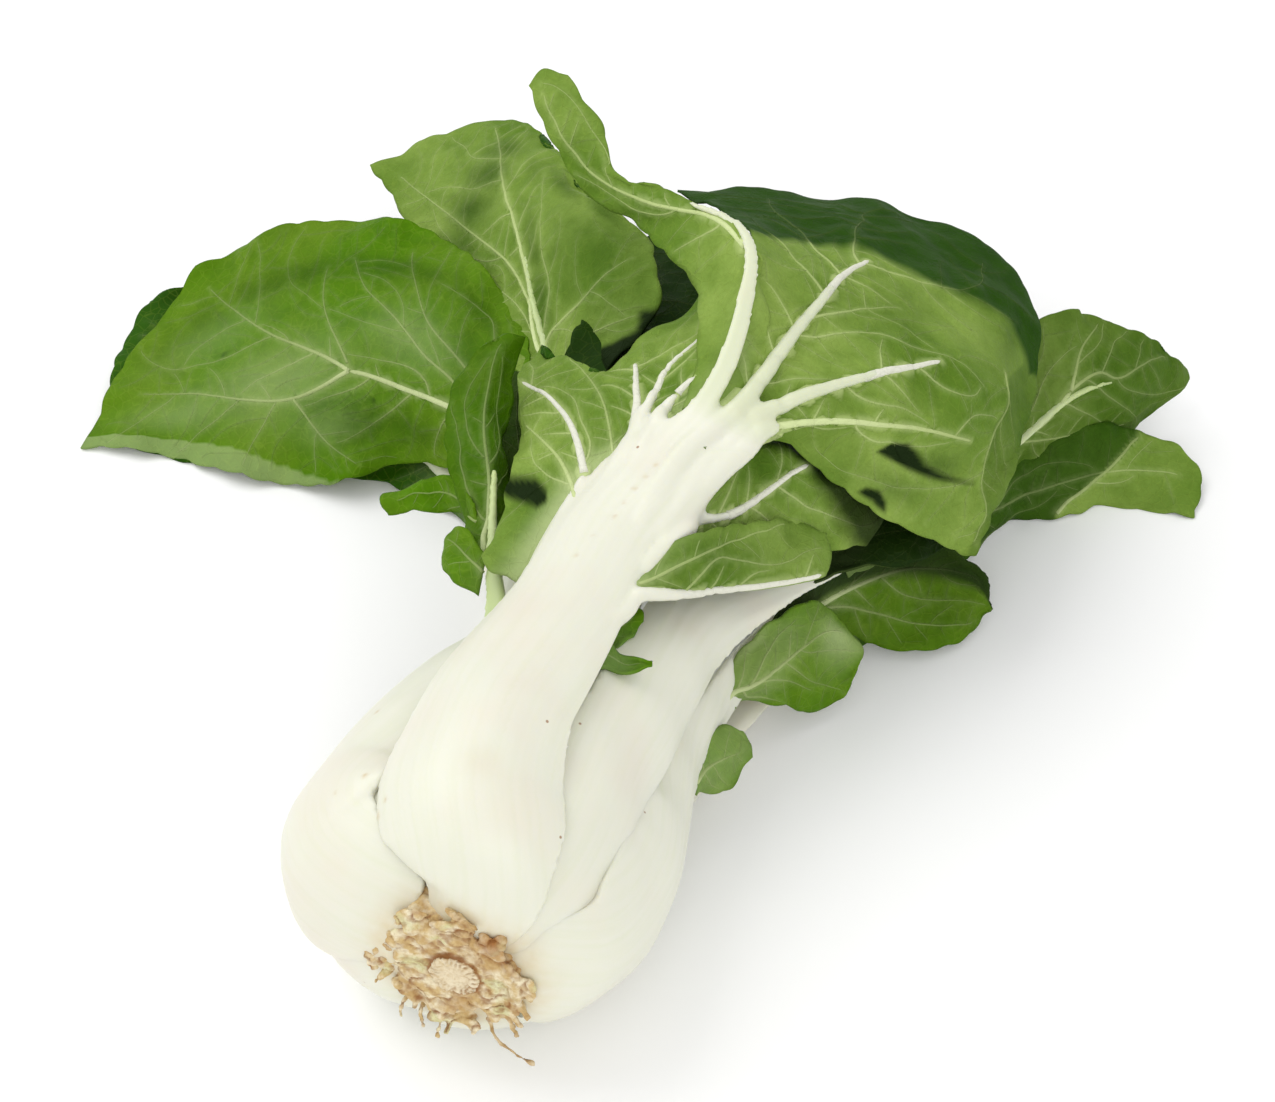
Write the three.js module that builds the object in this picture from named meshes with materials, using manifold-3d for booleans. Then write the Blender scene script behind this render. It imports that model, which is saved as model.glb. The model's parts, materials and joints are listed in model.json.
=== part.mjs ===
// A head of white-stalked bok choy lying on its side, cut end towards -Y and leaves towards +Y.
// Millimetres, +Z up. The origin is the middle of the flat spot that the bulb rests on, in the plane Z = 0.
import * as THREE from "three";
import { mergeVertices } from "three/addons/utils/BufferGeometryUtils.js";
import Module from "manifold-3d";

const wasm = await Module();
wasm.setup();

// Driving sizes
const GAP = 0.3; // left between two pieces that touch
const BLADE_THICK = 0.9; // a leaf blade
const STALK_EDGE = 1.2; // a stalk at the two edges of its width
const INNER_SHARE = 0.97; // of the outer face's width, for the inner face
const STALK_RINGS = 14; // sections along a stalk
const OUTER_STEPS = 8; // points across a stalk's outer face
const INNER_STEPS = 5; // points across its inner face
const ROD_SIDES = 5; // faces round a vein or a rootlet
const VEIN_RINGS = 4;
const VEIN_FLATTENED = 0.8; // a vein's height, as a share of its width
const VEIN_RAISED = 0.3; // how far a vein stands out of its blade, as a share of its radius
const ROW_STEP = 10; // between the rows of a blade's surface
const COLUMNS_PER_RAIL = 1.5;
const NEXT_T = 0.02; // from a place on a blade to the places beside it, for its slope
const NEXT_S = 0.05;
const RIPPLE = 1.6; // how far a free margin waves out of its blade
const RIPPLE_LENGTH = 36;
const SIMPLER = 0.1; // faces this near to flat are joined
const BUTT = [0, -48, 40]; // middle of the cut end, which the head's long axis runs through
const PLATE_RADIUS = 20; // of the root plate that the stalks grow from
const PLATE_DEPTH = 11;
const PLATE_SIDES = 24; // faces round it
const PLATE_LEVELS = 14;
const CUT_RADIUS = 6; // of the cut root in its middle
const CUT_FLARE = 3; // how much wider the cut root is inside the plate
const CUT_DEPTH = 8;
const CUT_RAISED = 1.5; // how far it stands out of the plate
const CUT_SIDES = 18;
const KNOB_SHARE = 0.06; // how far the plate's knobs stand out, as a share of its radius
const FINE_SHARE = 0.6; // the height of the finer knobs beside the broad ones
const ROOTLET_RADIUS = 1.1; // where it leaves the plate
const ROOTLET_TIP = 0.5;
const ROOTLET_RINGS = 4;
const ROOTLETS = [
  [[-11, -40, 27], [-14, -46, 22], [-15, -47, 17]],
  [[-8, -40, 25], [-10, -46, 20], [-9, -47, 15]],
  [[-4, -40, 24], [-5, -46, 18], [-6, -47, 13]],
  [[5, -40, 24], [8, -46, 19], [14, -48, 16], [19, -49, 15]],
];
const BULB_MIDDLE = -12; // Y where the bulb is thickest
const BULB_LEAN = -7; // how far the bulb's widest round is to the left of the cut end
const UNDER_SHARE = 0.93; // of the bulb's radius below its axis, where it lies on its own weight
const SURFACE_SIZE = 900; // of the slab below Z = 0 that flattens what rests on it

// Finishes
const WHITE_STALK = { color: 0xeeefdf, roughness: 0.42, metalness: 0 };
const TAN_ROOT = { color: 0xcdb88a, roughness: 0.85, metalness: 0 };
const UNDERSIDE_GREEN = { color: 0x7e9b47, roughness: 0.55, metalness: 0 };
const BRIGHT_GREEN = { color: 0x56861a, roughness: 0.45, metalness: 0 };
const DARK_GREEN = { color: 0x2f5c0a, roughness: 0.42, metalness: 0 };

// Shapes of the leaves. A stalk is a list of stations from its root to its far end, each with
// x, y, z of the middle of its outer face, the way that face looks in degrees round the head
// (0 is +X, 90 is up), its width, its thickness and the radius that its width is bent to.
// A blade is a list of sheets. A sheet is a list of rails, side by side, each from root to far end.
// A vein is a width at its root, a width at its end, the number of its sheet and the points that it runs
// through, each as a share of the way along the rails and a count across them.

// The round of the bulb from the root plate outwards: how far the outer face is from the head's axis,
// its Y, and the shares of the stalk's greatest width and thickness there.
const BULB_RADIUS = 44;
const BULB = [
  [12, -46, 0.42, 0.6],
  [25, -45, 0.62, 0.8],
  [37, -38, 0.84, 0.95],
  [BULB_RADIUS, -24, 0.98, 1],
];

// A stalk as big as share of the bulb, which swings to its angle on the way from the root plate and then
// follows its stations.
function rooted(angle, share, wide, thick, bend, stations, swing = 0) {
  const start = BULB.map(([radius, y, width, depth]) => {
    const degrees = angle + swing * (1 - radius / BULB_RADIUS);
    const turn = THREE.MathUtils.degToRad(degrees);
    const under = Math.sin(turn) < 0 ? UNDER_SHARE : 1;
    return [
      BUTT[0] + Math.cos(turn) * radius * share + (BULB_LEAN * radius) / BULB_RADIUS,
      BULB_MIDDLE + ((y - BULB_MIDDLE) * (share + 2)) / 3,
      BUTT[2] + Math.sin(turn) * radius * share * under,
      degrees,
      wide * width,
      thick * depth,
      bend,
    ];
  });
  return [...start, ...stations];
}

const FRONT = {
  stalk: [
    [2, -46, 52, 88, 20, 7, 27],
    [4, -45, 65, 86, 34, 9.6, 27],
    [1, -38, 77, 87, 48, 11.4, 27],
    [-5, -24, 83, 93, 51, 12, 27],
    [-7, -4, 86, 97, 46, 12, 26],
    [-5, 16, 85, 96, 40, 11, 24],
    [-2, 38, 84, 94, 33, 10, 22],
    [0, 60, 85, 92, 29, 9, 22],
    [8, 77, 88, 90, 34, 8, 28],
    [14, 92, 93, 88, 27, 7, 30],
    [16, 106, 101.5, 86, 12, 6, 12],
    [16, 120, 108, 84, 7, 5, 6],
    [13, 135, 113, 92, 4.4, 4, 4],
    [5, 144, 113.5, 105, 3, 3, 4],
    [-8, 151, 110.5, 110, 1.6, 2, 4],
  ],
  veins: [
    [6, 1.6, 0, [0.04, 2], [0.4, 2], [0.85, 2.2]],
    [5, 1.6, 0, [0.03, 3.2], [0.4, 3.4], [0.8, 3.6]],
    [5, 1.6, 0, [0.02, 4.2], [0.35, 4.4], [0.75, 4.6]],
    [5, 1.6, 0, [0.02, 5.2], [0.25, 5.4], [0.55, 5.6]],
    [6, 1.6, 1, [0.02, 1.4], [0.25, 1.6], [0.5, 1.7]],
    [6, 1.6, 1, [0.02, 3], [0.3, 3], [0.6, 3]],
    [5, 1.6, 1, [0.02, 4.4], [0.3, 4.4], [0.55, 4.5]],
    [6, 1.6, 4, [0.02, 1], [0.3, 1], [0.7, 1]],
    [4.4, 2, 3, [0.02, 0.1], [0.4, 0.1], [0.9, 0.1]],
  ],
  blade: [
    {
      // the left half, from the stalk's left edge out to the free margin
      fan: true,
      rails: [
        [[-15, 42, 76], [-19, 42, 77], [-23, 42, 78], [-27, 46, 77]],
        [[-12, 58, 78.5], [-18, 62, 80], [-24, 66, 79], [-28, 70, 77]],
        [[-8, 72, 81], [-17, 83, 82], [-27, 93, 79], [-39, 105, 74]],
        [[-3, 82, 83], [-13, 97, 85], [-27, 112, 80], [-42, 125, 73]],
        [[2, 89, 86.5], [-6, 106, 88], [-16, 120, 83], [-29, 125, 77]],
        [[8, 93, 89], [4, 110, 94], [-4, 130, 88], [-15, 148, 80]],
        [[14, 95, 92], [15, 112, 101], [10, 132, 99], [-5, 158, 83]],
      ],
    },
    {
      // the right half, from the midrib round to the torn lower flap
      fan: true,
      rails: [
        [[14, 95, 92], [16, 112, 101], [14, 134, 107], [4, 160, 100], [-27, 201, 71]],
        [[18, 94, 91], [24, 118, 98], [26, 150, 95], [16, 190, 80], [2, 221, 63]],
        [[20, 94, 90], [31, 120, 94], [38, 152, 89], [38, 190, 76], [32, 226, 60]],
        [[21, 93, 89], [39, 112, 91], [54, 138, 85], [64, 172, 72], [67, 214, 56]],
        [[21, 92, 88], [40, 105, 88], [58, 122, 80], [74, 146, 68], [81, 181, 51]],
        [[20, 91, 87], [36, 104, 86], [52, 114, 75], [68, 126, 60], [82, 144, 46]],
        [[19, 90, 86], [32, 101, 83], [44, 105, 70], [60, 110, 55], [80, 119, 41]],
      ],
    },
    {
      // the far part along the midrib, rolled to the left and standing up at its tip
      rails: [
        [
          [8, 96, 91], [7, 108, 96], [2, 126, 99], [-16, 148, 98],
          [-33, 157, 96], [-42, 162, 101], [-53, 168, 110], [-59, 173, 119],
        ],
        [
          [15, 97, 94], [16, 112, 101], [14, 128, 108], [1, 145, 110],
          [-22, 155, 105], [-38, 163, 105], [-47, 170, 113], [-56, 177, 122],
        ],
        [
          [22, 98, 91], [23, 112, 97], [20, 128, 104], [9, 142, 112],
          [-14, 156, 108], [-33, 161, 107], [-38, 170, 114], [-50, 178, 120],
        ],
      ],
    },
    {
      // the lower of the two small lobes along the right edge of the stalk
      rails: [
        [[8, 36, 78], [15, 42, 76], [26, 56, 67], [38, 70, 59], [47, 84, 54]],
        [[7, 44, 80], [18, 50, 79], [30, 64, 72], [40, 78, 64], [48, 90, 57]],
        [[9, 60, 79], [20, 62, 82], [30, 77, 75], [39, 90, 67], [46, 95, 60]],
      ],
    },
    {
      // the upper one, under the torn flap
      rails: [
        [[9, 54, 79], [22, 66, 77], [34, 78, 68], [43, 87, 62], [55, 105, 52]],
        [[13, 70, 83], [24, 82, 79], [36, 95, 72], [47, 106, 62], [57, 115, 52]],
        [[18, 87, 85], [27, 97, 82], [38, 104, 74], [48, 110, 64], [59, 119, 52]],
      ],
    },
  ],
};

const RIGHT_UPPER = {
  stalk: rooted(39, 0.92, 46, 12, 25, [
    [24, 0, 67, 42, 35, 12, 25],
    [25, 21, 65, 40, 28, 11, 22],
    [26, 41, 60, 38, 22, 9, 18],
    [27, 63, 54, 44, 17, 8, 15],
    [34, 87, 45, 52, 12, 6, 12],
    [50, 122, 34, 60, 9, 5, 9],
    [62, 150, 28, 68, 6, 4, 6],
    [76, 177, 27, 76, 4, 3.4, 5],
    [88, 198, 31, 80, 2.6, 2.6, 5],
    [100, 214, 28, 85, 1.6, 1.8, 5],
  ]),
  veins: [],
  blade: [
    {
      rails: [
        [[44, 112, 36], [50, 150, 38], [62, 186, 42], [80, 213, 46], [99, 226, 34], [112, 238, 15]],
        [[47, 112, 36], [60, 148, 29], [74, 176, 28], [87, 198, 31], [102, 216, 26], [114, 238, 13]],
        [[50, 110, 34], [66, 146, 17], [76, 176, 10], [88, 194, 7], [102, 212, 7], [115, 236, 11]],
      ],
    },
  ],
};

const RIGHT_OUTER = {
  stalk: rooted(-11, 1, 62, 12, 31, [
    [38, -6, 29, -12, 62, 12, 31],
    [37, 10, 29, -8, 48, 10, 28],
    [33, 30, 30, -2, 29, 9, 22],
    [32, 50, 30, 6, 19, 8, 18],
    [33, 72, 29, 22, 13, 6, 13],
    [38, 94, 28, 45, 8, 5, 8],
    [47, 112, 26, 70, 5, 4, 5],
    [58, 126, 22.5, 80, 3, 3, 5],
    [70, 137, 16.5, 85, 1.6, 1.8, 5],
  ], 24),
  veins: [],
  blade: [
    {
      rails: [
        [[35, 88, 30], [42, 108, 36], [53, 125, 34], [65, 135, 27], [75, 140, 18], [82, 138, 9]],
        [[37, 90, 27], [46, 108, 26], [56, 122, 22], [66, 133, 16], [76, 138, 12], [83, 136, 8]],
        [[39, 86, 26], [45, 102, 16], [55, 112, 7], [67, 117, 3], [78, 124, 4], [83, 134, 7]],
      ],
    },
  ],
  lobes: [
    {
      rails: [
        [[31, 60, 31], [31, 71, 34], [35, 84, 36], [41, 94, 36], [47, 99, 31], [52, 101, 24]],
        [[31, 62, 28], [35, 68, 28], [39, 76, 28], [44, 85, 27], [49, 94, 24], [56, 100, 18]],
        [[33, 64, 25], [35, 72, 20], [42, 78, 15], [48, 82, 8], [54, 90, 7], [56, 96, 14]],
      ],
    },
    {
      rails: [
        [[31, 31, 33], [31, 43, 33], [32, 51, 31], [35, 54, 28], [38, 55, 25]],
        [[32, 33, 29], [34, 40, 27], [36, 46, 26], [38, 51, 25], [40, 54, 24]],
        [[32, 34, 24], [34, 40, 19], [37, 45, 17], [39, 49, 19], [41, 52, 22]],
      ],
    },
  ],
};

const LEFT_OUTER = {
  stalk: rooted(163, 1.05, 70, 12, 30, [
    [-48, -8, 52, 163, 64, 12, 29],
    [-41, 11, 54, 155, 48, 10, 28],
    [-34, 30, 56, 147, 33, 9, 24],
    [-28, 50, 52, 142, 23, 8, 20],
    [-31, 75, 46, 136, 16, 7, 16],
    [-40, 100, 40, 130, 10, 6, 10],
    [-56, 129, 35, 110, 6, 4.4, 6],
    [-80, 144, 32, 100, 4, 3.4, 5],
    [-108, 150, 27.5, 95, 3, 2.6, 5],
    [-134, 142, 19, 95, 1.6, 1.8, 5],
  ], -12),
  veins: [],
  blade: [
    {
      rails: [
        [
          [-44, 126, 31], [-60, 131, 19], [-84, 135, 11], [-106, 125, 5],
          [-132, 124, 3], [-158, 125, 2], [-178, 122, 2],
        ],
        [[-44, 129, 34], [-74, 142, 30], [-104, 150, 27], [-130, 144, 19], [-154, 136, 11], [-177, 130, 5]],
        [[-45, 132, 39], [-64, 153, 41], [-90, 173, 41], [-116, 176, 36], [-146, 168, 25], [-175, 149, 12]],
        [[-46, 136, 43], [-60, 164, 45], [-88, 189, 45], [-117, 197, 41], [-144, 194, 34], [-165, 180, 24]],
      ],
    },
  ],
};

const LEFT_UPPER = {
  stalk: rooted(140, 0.68, 24, 8, 20, [
    [-24, 4, 55, 136, 24, 8, 20],
    [-19, 30, 54, 132, 21, 8, 18],
    [-15, 56, 53, 125, 17, 7, 18],
    [-17, 84, 51, 118, 12, 6, 12],
    [-27, 114, 49, 110, 8, 5, 8],
    [-42, 141, 49.5, 102, 5, 4, 5],
    [-56, 164, 53, 96, 3.4, 3, 5],
    [-67, 185, 57, 92, 2.4, 2.4, 5],
    [-75, 203, 57, 90, 1.6, 1.8, 5],
  ]),
  veins: [],
  blade: [
    {
      rails: [
        [[-37, 128, 44], [-58, 150, 42], [-90, 184, 37], [-116, 214, 31], [-132, 233, 29]],
        [[-36, 130, 46], [-54, 158, 45], [-78, 188, 45], [-99, 215, 42], [-117, 243, 37]],
        [[-35, 131, 48], [-49, 152, 49], [-60, 173, 54], [-72, 196, 57], [-84, 222, 54], [-96, 245, 46]],
        [[-33, 130, 51], [-34, 148, 60], [-42, 166, 68], [-54, 184, 69], [-68, 208, 63], [-86, 241, 51]],
        [
          [-31, 128, 53], [-22, 138, 65], [-17, 152, 75], [-26, 172, 77],
          [-44, 188, 72], [-58, 206, 64], [-76, 230, 55],
        ],
      ],
    },
  ],
};

const BOTTOM_LEFT = {
  stalk: rooted(227, 1, 46, 11, 34, [
    [-33, -6, 7, 230, 44, 11, 34],
    [-28, 18, 5, 238, 38, 10, 34],
    [-24, 44, 4, 252, 28, 9, 30],
    [-30, 72, 5, 256, 19, 7, 22],
    [-42, 100, 5, 262, 12, 6, 14],
    [-64, 130, 6, 268, 7, 4.4, 8],
    [-96, 149, 8, 270, 4, 3.4, 6],
    [-130, 159, 8, 270, 2.6, 2.6, 6],
    [-158, 157, 6.5, 270, 1.6, 1.8, 6],
  ]),
  veins: [],
  blade: [
    {
      rails: [
        [[-44, 100, 4], [-62, 124, 3], [-92, 134, 1.2], [-124, 130, 0.4], [-150, 126, 0.4], [-172, 127, 0.6]],
        [[-43, 103, 5], [-66, 132, 8], [-98, 150, 10], [-130, 158, 10], [-158, 153, 8], [-180, 146, 5]],
        [[-42, 107, 6], [-60, 140, 11], [-84, 168, 14], [-116, 189, 15], [-152, 196, 14], [-182, 178, 9]],
      ],
    },
  ],
};

const BOTTOM_RIGHT = {
  stalk: rooted(281, 0.97, 46, 11, 34, [
    [3, -6, -1, 281, 46, 11, 34],
    [7, 18, 0.6, 282, 38, 10, 34],
    [17, 44, 4, 286, 28, 9, 30],
    [26, 72, 5, 284, 19, 7, 22],
    [38, 102, 6, 278, 12, 6, 14],
    [52, 128, 7.4, 274, 7, 4.4, 8],
    [63, 147, 8.2, 270, 4, 3.8, 6],
    [80, 173, 8.4, 270, 2.6, 2.8, 6],
    [97, 191, 7.4, 270, 1.6, 2, 6],
  ]),
  veins: [],
  blade: [
    {
      rails: [
        [[46, 110, 12], [58, 146, 20], [76, 177, 19], [93, 202, 17], [111, 212, 10], [122, 212, 5]],
        [[50, 111, 10], [62, 146, 12], [80, 174, 11], [99, 193, 9], [114, 203, 5], [126, 204, 3]],
        [[54, 110, 8], [64, 142, 4], [76, 167, 2], [91, 183, 0.6], [108, 190, 0.4], [127, 193, 0.4]],
      ],
    },
  ],
};

const INNER_BACK = {
  stalk: rooted(90, 0.42, 18, 8, 16, [
    [2, 10, 57, 90, 18, 8, 16],
    [3, 50, 59, 90, 15, 7, 14],
    [4, 90, 66, 90, 10, 5, 10],
    [0, 130, 68, 90, 5, 4, 6],
    [-6, 165, 66, 90, 2, 2, 5],
  ]),
  veins: [],
  blade: [
    {
      rails: [
        [[-6, 92, 66], [-26, 124, 70], [-32, 158, 72], [-34, 190, 66], [-26, 208, 60]],
        [[4, 92, 66], [2, 124, 65], [-2, 158, 62], [-6, 192, 58], [-12, 210, 54]],
        [[12, 92, 65], [26, 122, 68], [34, 156, 66], [30, 190, 58], [12, 208, 52]],
      ],
    },
  ],
};

const INNER_LEFT = {
  stalk: rooted(112, 0.62, 9, 5, 10, [
    [-15, -8, 66, 116, 9, 5, 10],
    [-17, 12, 68, 120, 8, 4.4, 8],
    [-20, 34, 70, 122, 7, 4.4, 7],
    [-25, 48, 70.5, 118, 5, 4, 6],
    [-30, 61, 71, 110, 3.6, 3, 5],
    [-35, 77, 75.5, 105, 2.4, 2.2, 5],
    [-40, 91, 80, 105, 1.6, 1.8, 5],
  ]),
  veins: [],
  blade: [
    {
      rails: [
        [[-33, 56, 67], [-42, 70, 69], [-50, 84, 76], [-53, 95, 82], [-50, 104, 86], [-44, 111, 88]],
        [[-30, 56, 67], [-34, 71, 72], [-40, 86, 78], [-44, 98, 82], [-44, 105, 86], [-42, 112, 88]],
        [[-28, 56, 66], [-29, 73, 67], [-35, 89, 69], [-40, 102, 74], [-41, 109, 82], [-40, 114, 87]],
      ],
    },
    {
      rails: [
        [[-34, 62, 66], [-44, 73, 61], [-54, 75, 58], [-63, 74, 54]],
        [[-34, 65, 68], [-46, 76, 64], [-56, 77, 61], [-65, 75, 56]],
        [[-36, 68, 72], [-47, 79, 67], [-57, 79, 62], [-65, 77, 57]],
      ],
    },
  ],
  lobes: [
    {
      rails: [
        [[-26, 41, 68], [-33, 43, 69], [-39, 49, 68], [-41, 55, 66]],
        [[-27, 47, 69.5], [-33, 51, 70], [-38, 55, 69], [-41, 58, 67]],
        [[-28, 52, 70], [-32, 56, 71], [-36, 59, 70], [-40, 61, 67]],
      ],
    },
  ],
};

const HEART = {
  stalk: rooted(70, 0.58, 10, 4, 12, [
    [3, -2, 64, 72, 9, 4, 11],
    [5, 12, 66, 76, 7, 3.6, 9],
    [7, 24, 68, 84, 5, 3, 8],
    [9, 34, 68, 88, 2.4, 2, 6],
  ]),
  veins: [],
  blade: [
    {
      rails: [
        [[3, 24, 68], [4, 34, 67], [7, 42, 67], [12, 49, 68]],
        [[6, 24, 69], [8, 34, 67.5], [11, 41, 67.5], [14, 47, 68]],
        [[9, 24, 69.5], [12, 34, 67], [14, 40, 66.5], [15, 44, 67]],
      ],
    },
    {
      rails: [
        [[5, 29, 69], [10, 32, 71], [16, 29, 71], [22, 30, 70]],
        [[6, 26, 69.5], [11, 28, 70], [17, 28, 70], [22, 29.5, 70]],
        [[7, 23, 69], [13, 24, 70], [18, 26, 70], [22, 29, 70]],
      ],
    },
  ],
};

// Each leaf's name, shapes and the finish of its blade, in the order in which they make room: a later
// one is cut clear of the earlier ones.
const LEAVES = [
  ["left_outer", LEFT_OUTER, BRIGHT_GREEN],
  ["right_outer", RIGHT_OUTER, BRIGHT_GREEN],
  ["bottom_left", BOTTOM_LEFT, DARK_GREEN],
  ["bottom_right", BOTTOM_RIGHT, UNDERSIDE_GREEN],
  ["front", FRONT, UNDERSIDE_GREEN],
  ["right_upper", RIGHT_UPPER, UNDERSIDE_GREEN],
  ["left_upper", LEFT_UPPER, UNDERSIDE_GREEN],
  ["inner_left", INNER_LEFT, BRIGHT_GREEN],
  ["inner_back", INNER_BACK, DARK_GREEN],
  ["heart", HEART, BRIGHT_GREEN],
];

const vector = (p) => new THREE.Vector3(...p);
const curve = (points) => new THREE.CatmullRomCurve3(points, false, "catmullrom", 0.5);

// A closed solid from vertices and triangles, turned to face outwards.
function solid(vertices, triangles) {
  const geometry = new THREE.BufferGeometry();
  const coordinates = vertices.flatMap((vertex) => vertex.toArray());
  geometry.setAttribute("position", new THREE.Float32BufferAttribute(coordinates, 3));
  geometry.setIndex(triangles.flat());
  return fromGeometry(geometry);
}

function fromGeometry(source) {
  const geometry = source.clone();
  geometry.deleteAttribute("normal");
  geometry.deleteAttribute("uv");
  const merged = mergeVertices(geometry, 1e-4);
  const numbers = { numProp: 3, vertProperties: merged.attributes.position.array };
  const triVerts = new Uint32Array(merged.index.array);
  const made = new wasm.Manifold(new wasm.Mesh({ ...numbers, triVerts }));
  if (made.volume() > 0) {
    return made;
  }
  return new wasm.Manifold(new wasm.Mesh({ ...numbers, triVerts: triVerts.reverse() }));
}

// A closed skin over rings of equal length, with a flat cap at each end.
function skin(rings) {
  const count = rings[0].length;
  const triangles = [];
  for (let i = 0; i + 1 < rings.length; i += 1) {
    for (let j = 0; j < count; j += 1) {
      const a = i * count + j;
      const b = i * count + ((j + 1) % count);
      triangles.push([a, b, a + count], [b, b + count, a + count]);
    }
  }
  const last = (rings.length - 1) * count;
  for (let j = 1; j + 1 < count; j += 1) {
    triangles.push([0, j + 1, j], [last, last + j, last + j + 1]);
  }
  return solid(rings.flat(), triangles);
}

// A stalk: a crescent section, thick in the middle and bent round the head, along its stations.
function stalk(stations, grow = 0) {
  const middle = curve(stations.map((s) => new THREE.Vector3(s[0], s[1], s[2])));
  const section = curve(stations.map((s) => new THREE.Vector3(s[4], s[5], s[6])));
  const turn = curve(stations.map((s) => new THREE.Vector3(s[3], 0, 0)));
  const rings = [];
  for (let i = 0; i <= STALK_RINGS; i += 1) {
    const t = i / STALK_RINGS;
    const along = middle.getTangent(t);
    const angle = THREE.MathUtils.degToRad(turn.getPoint(t).x);
    const origin = middle.getPoint(t);
    const reach = Math.hypot(origin.x - BUTT[0], origin.z - BUTT[2]);
    const lean = Math.min(0, origin.y - BULB_MIDDLE);
    const out = new THREE.Vector3(Math.cos(angle) * reach, lean, Math.sin(angle) * reach);
    out.addScaledVector(along, -out.dot(along)).normalize();
    const side = new THREE.Vector3().crossVectors(along, out);
    const [width, thick, bend] = section.getPoint(t).toArray();
    origin.addScaledVector(along, i === 0 ? -grow : i === STALK_RINGS ? grow : 0);
    const at = (u, inwards) => {
      const turned = (u * (width + 2 * grow)) / 2 / bend;
      const radius = bend + grow - inwards;
      return origin
        .clone()
        .addScaledVector(side, Math.sin(turned) * radius)
        .addScaledVector(out, Math.cos(turned) * radius - bend);
    };
    const ring = [];
    for (let j = 0; j <= OUTER_STEPS; j += 1) {
      ring.push(at(-1 + (2 * j) / OUTER_STEPS, 0));
    }
    for (let j = 0; j <= INNER_STEPS; j += 1) {
      const u = 1 - (2 * j) / INNER_STEPS;
      const edge = Math.min(STALK_EDGE, thick / 2);
      ring.push(at(u * INNER_SHARE, edge + (thick - edge) * Math.sqrt(1 - u * u * 0.96) + 2 * grow));
    }
    rings.push(ring);
  }
  return skin(rings);
}

// The surface that a sheet's rails span: t runs from the roots of the rails to their far ends, and s
// counts across the rails. The free margin ripples: the far end of a fan, the two sides of any other sheet.
// What reaches the surface lies flat on it.
function span({ rails, fan = false }) {
  const lines = rails.map((points) => curve(points.map(vector)));
  const last = lines.length - 1;
  const length = lines[Math.floor(last / 2)].getLength();
  const middle = curve(lines.map((line) => line.getPointAt(0.9))).getLength();
  const smooth = (t, s) => curve(lines.map((line) => line.getPointAt(t))).getPoint(s / last);
  const out = (t, s) => {
    const [t0, t1] = [Math.max(t - NEXT_T, 0), Math.min(t + NEXT_T, 1)];
    const [s0, s1] = [Math.max(s - NEXT_S, 0), Math.min(s + NEXT_S, last)];
    const down = new THREE.Vector3().subVectors(smooth(t1, s), smooth(t0, s));
    const over = new THREE.Vector3().subVectors(smooth(t, s1), smooth(t, s0));
    return new THREE.Vector3().crossVectors(down, over).normalize();
  };
  const at = (t, s) => {
    const free = fan ? t ** 6 : Math.abs((2 * s) / last - 1) ** 4 * Math.sin(Math.PI * t);
    const run = fan ? (s / last) * middle : t * length;
    const ripple = RIPPLE * free * Math.sin((2 * Math.PI * run) / RIPPLE_LENGTH + s);
    const point = smooth(t, s).addScaledVector(out(t, s), ripple);
    point.z = Math.max(point.z, BLADE_THICK / 2);
    return point;
  };
  return { at, out, last, length };
}

// The corners of an oval ring: wide along side and high along out.
function oval(middle, side, wide, out, high) {
  return Array.from({ length: ROD_SIDES }, (_, k) => {
    const turn = (2 * Math.PI * k) / ROD_SIDES;
    const point = middle.clone().addScaledVector(side, wide * Math.cos(turn));
    return point.addScaledVector(out, high * Math.sin(turn));
  });
}

// A vein along a sheet: an oval rod that tapers from wide to narrow through its t and s points.
function vein(leaf, [wide, narrow, sheetNumber, ...points], grow = 0) {
  const surface = span(leaf.blade[sheetNumber]);
  const route = curve(points.map(([t, s]) => new THREE.Vector3(t, s, 0)));
  const path = curve(route.getPoints(VEIN_RINGS).map(({ x, y }) => surface.at(x, y)));
  const rings = [];
  for (let i = 0; i <= VEIN_RINGS; i += 1) {
    const t = i / VEIN_RINGS;
    const along = path.getTangent(t);
    const out = new THREE.Vector3(0, 0, 1).addScaledVector(along, -along.z).normalize();
    const side = new THREE.Vector3().crossVectors(along, out);
    const radius = THREE.MathUtils.lerp(wide, narrow, t ** 0.7) / 2 + grow;
    const middle = path.getPoint(t).addScaledVector(out, VEIN_RAISED * radius);
    middle.addScaledVector(along, i === 0 ? -grow : i === VEIN_RINGS ? grow : 0);
    rings.push(oval(middle, side, radius, out, radius * VEIN_FLATTENED));
  }
  return skin(rings);
}

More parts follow.
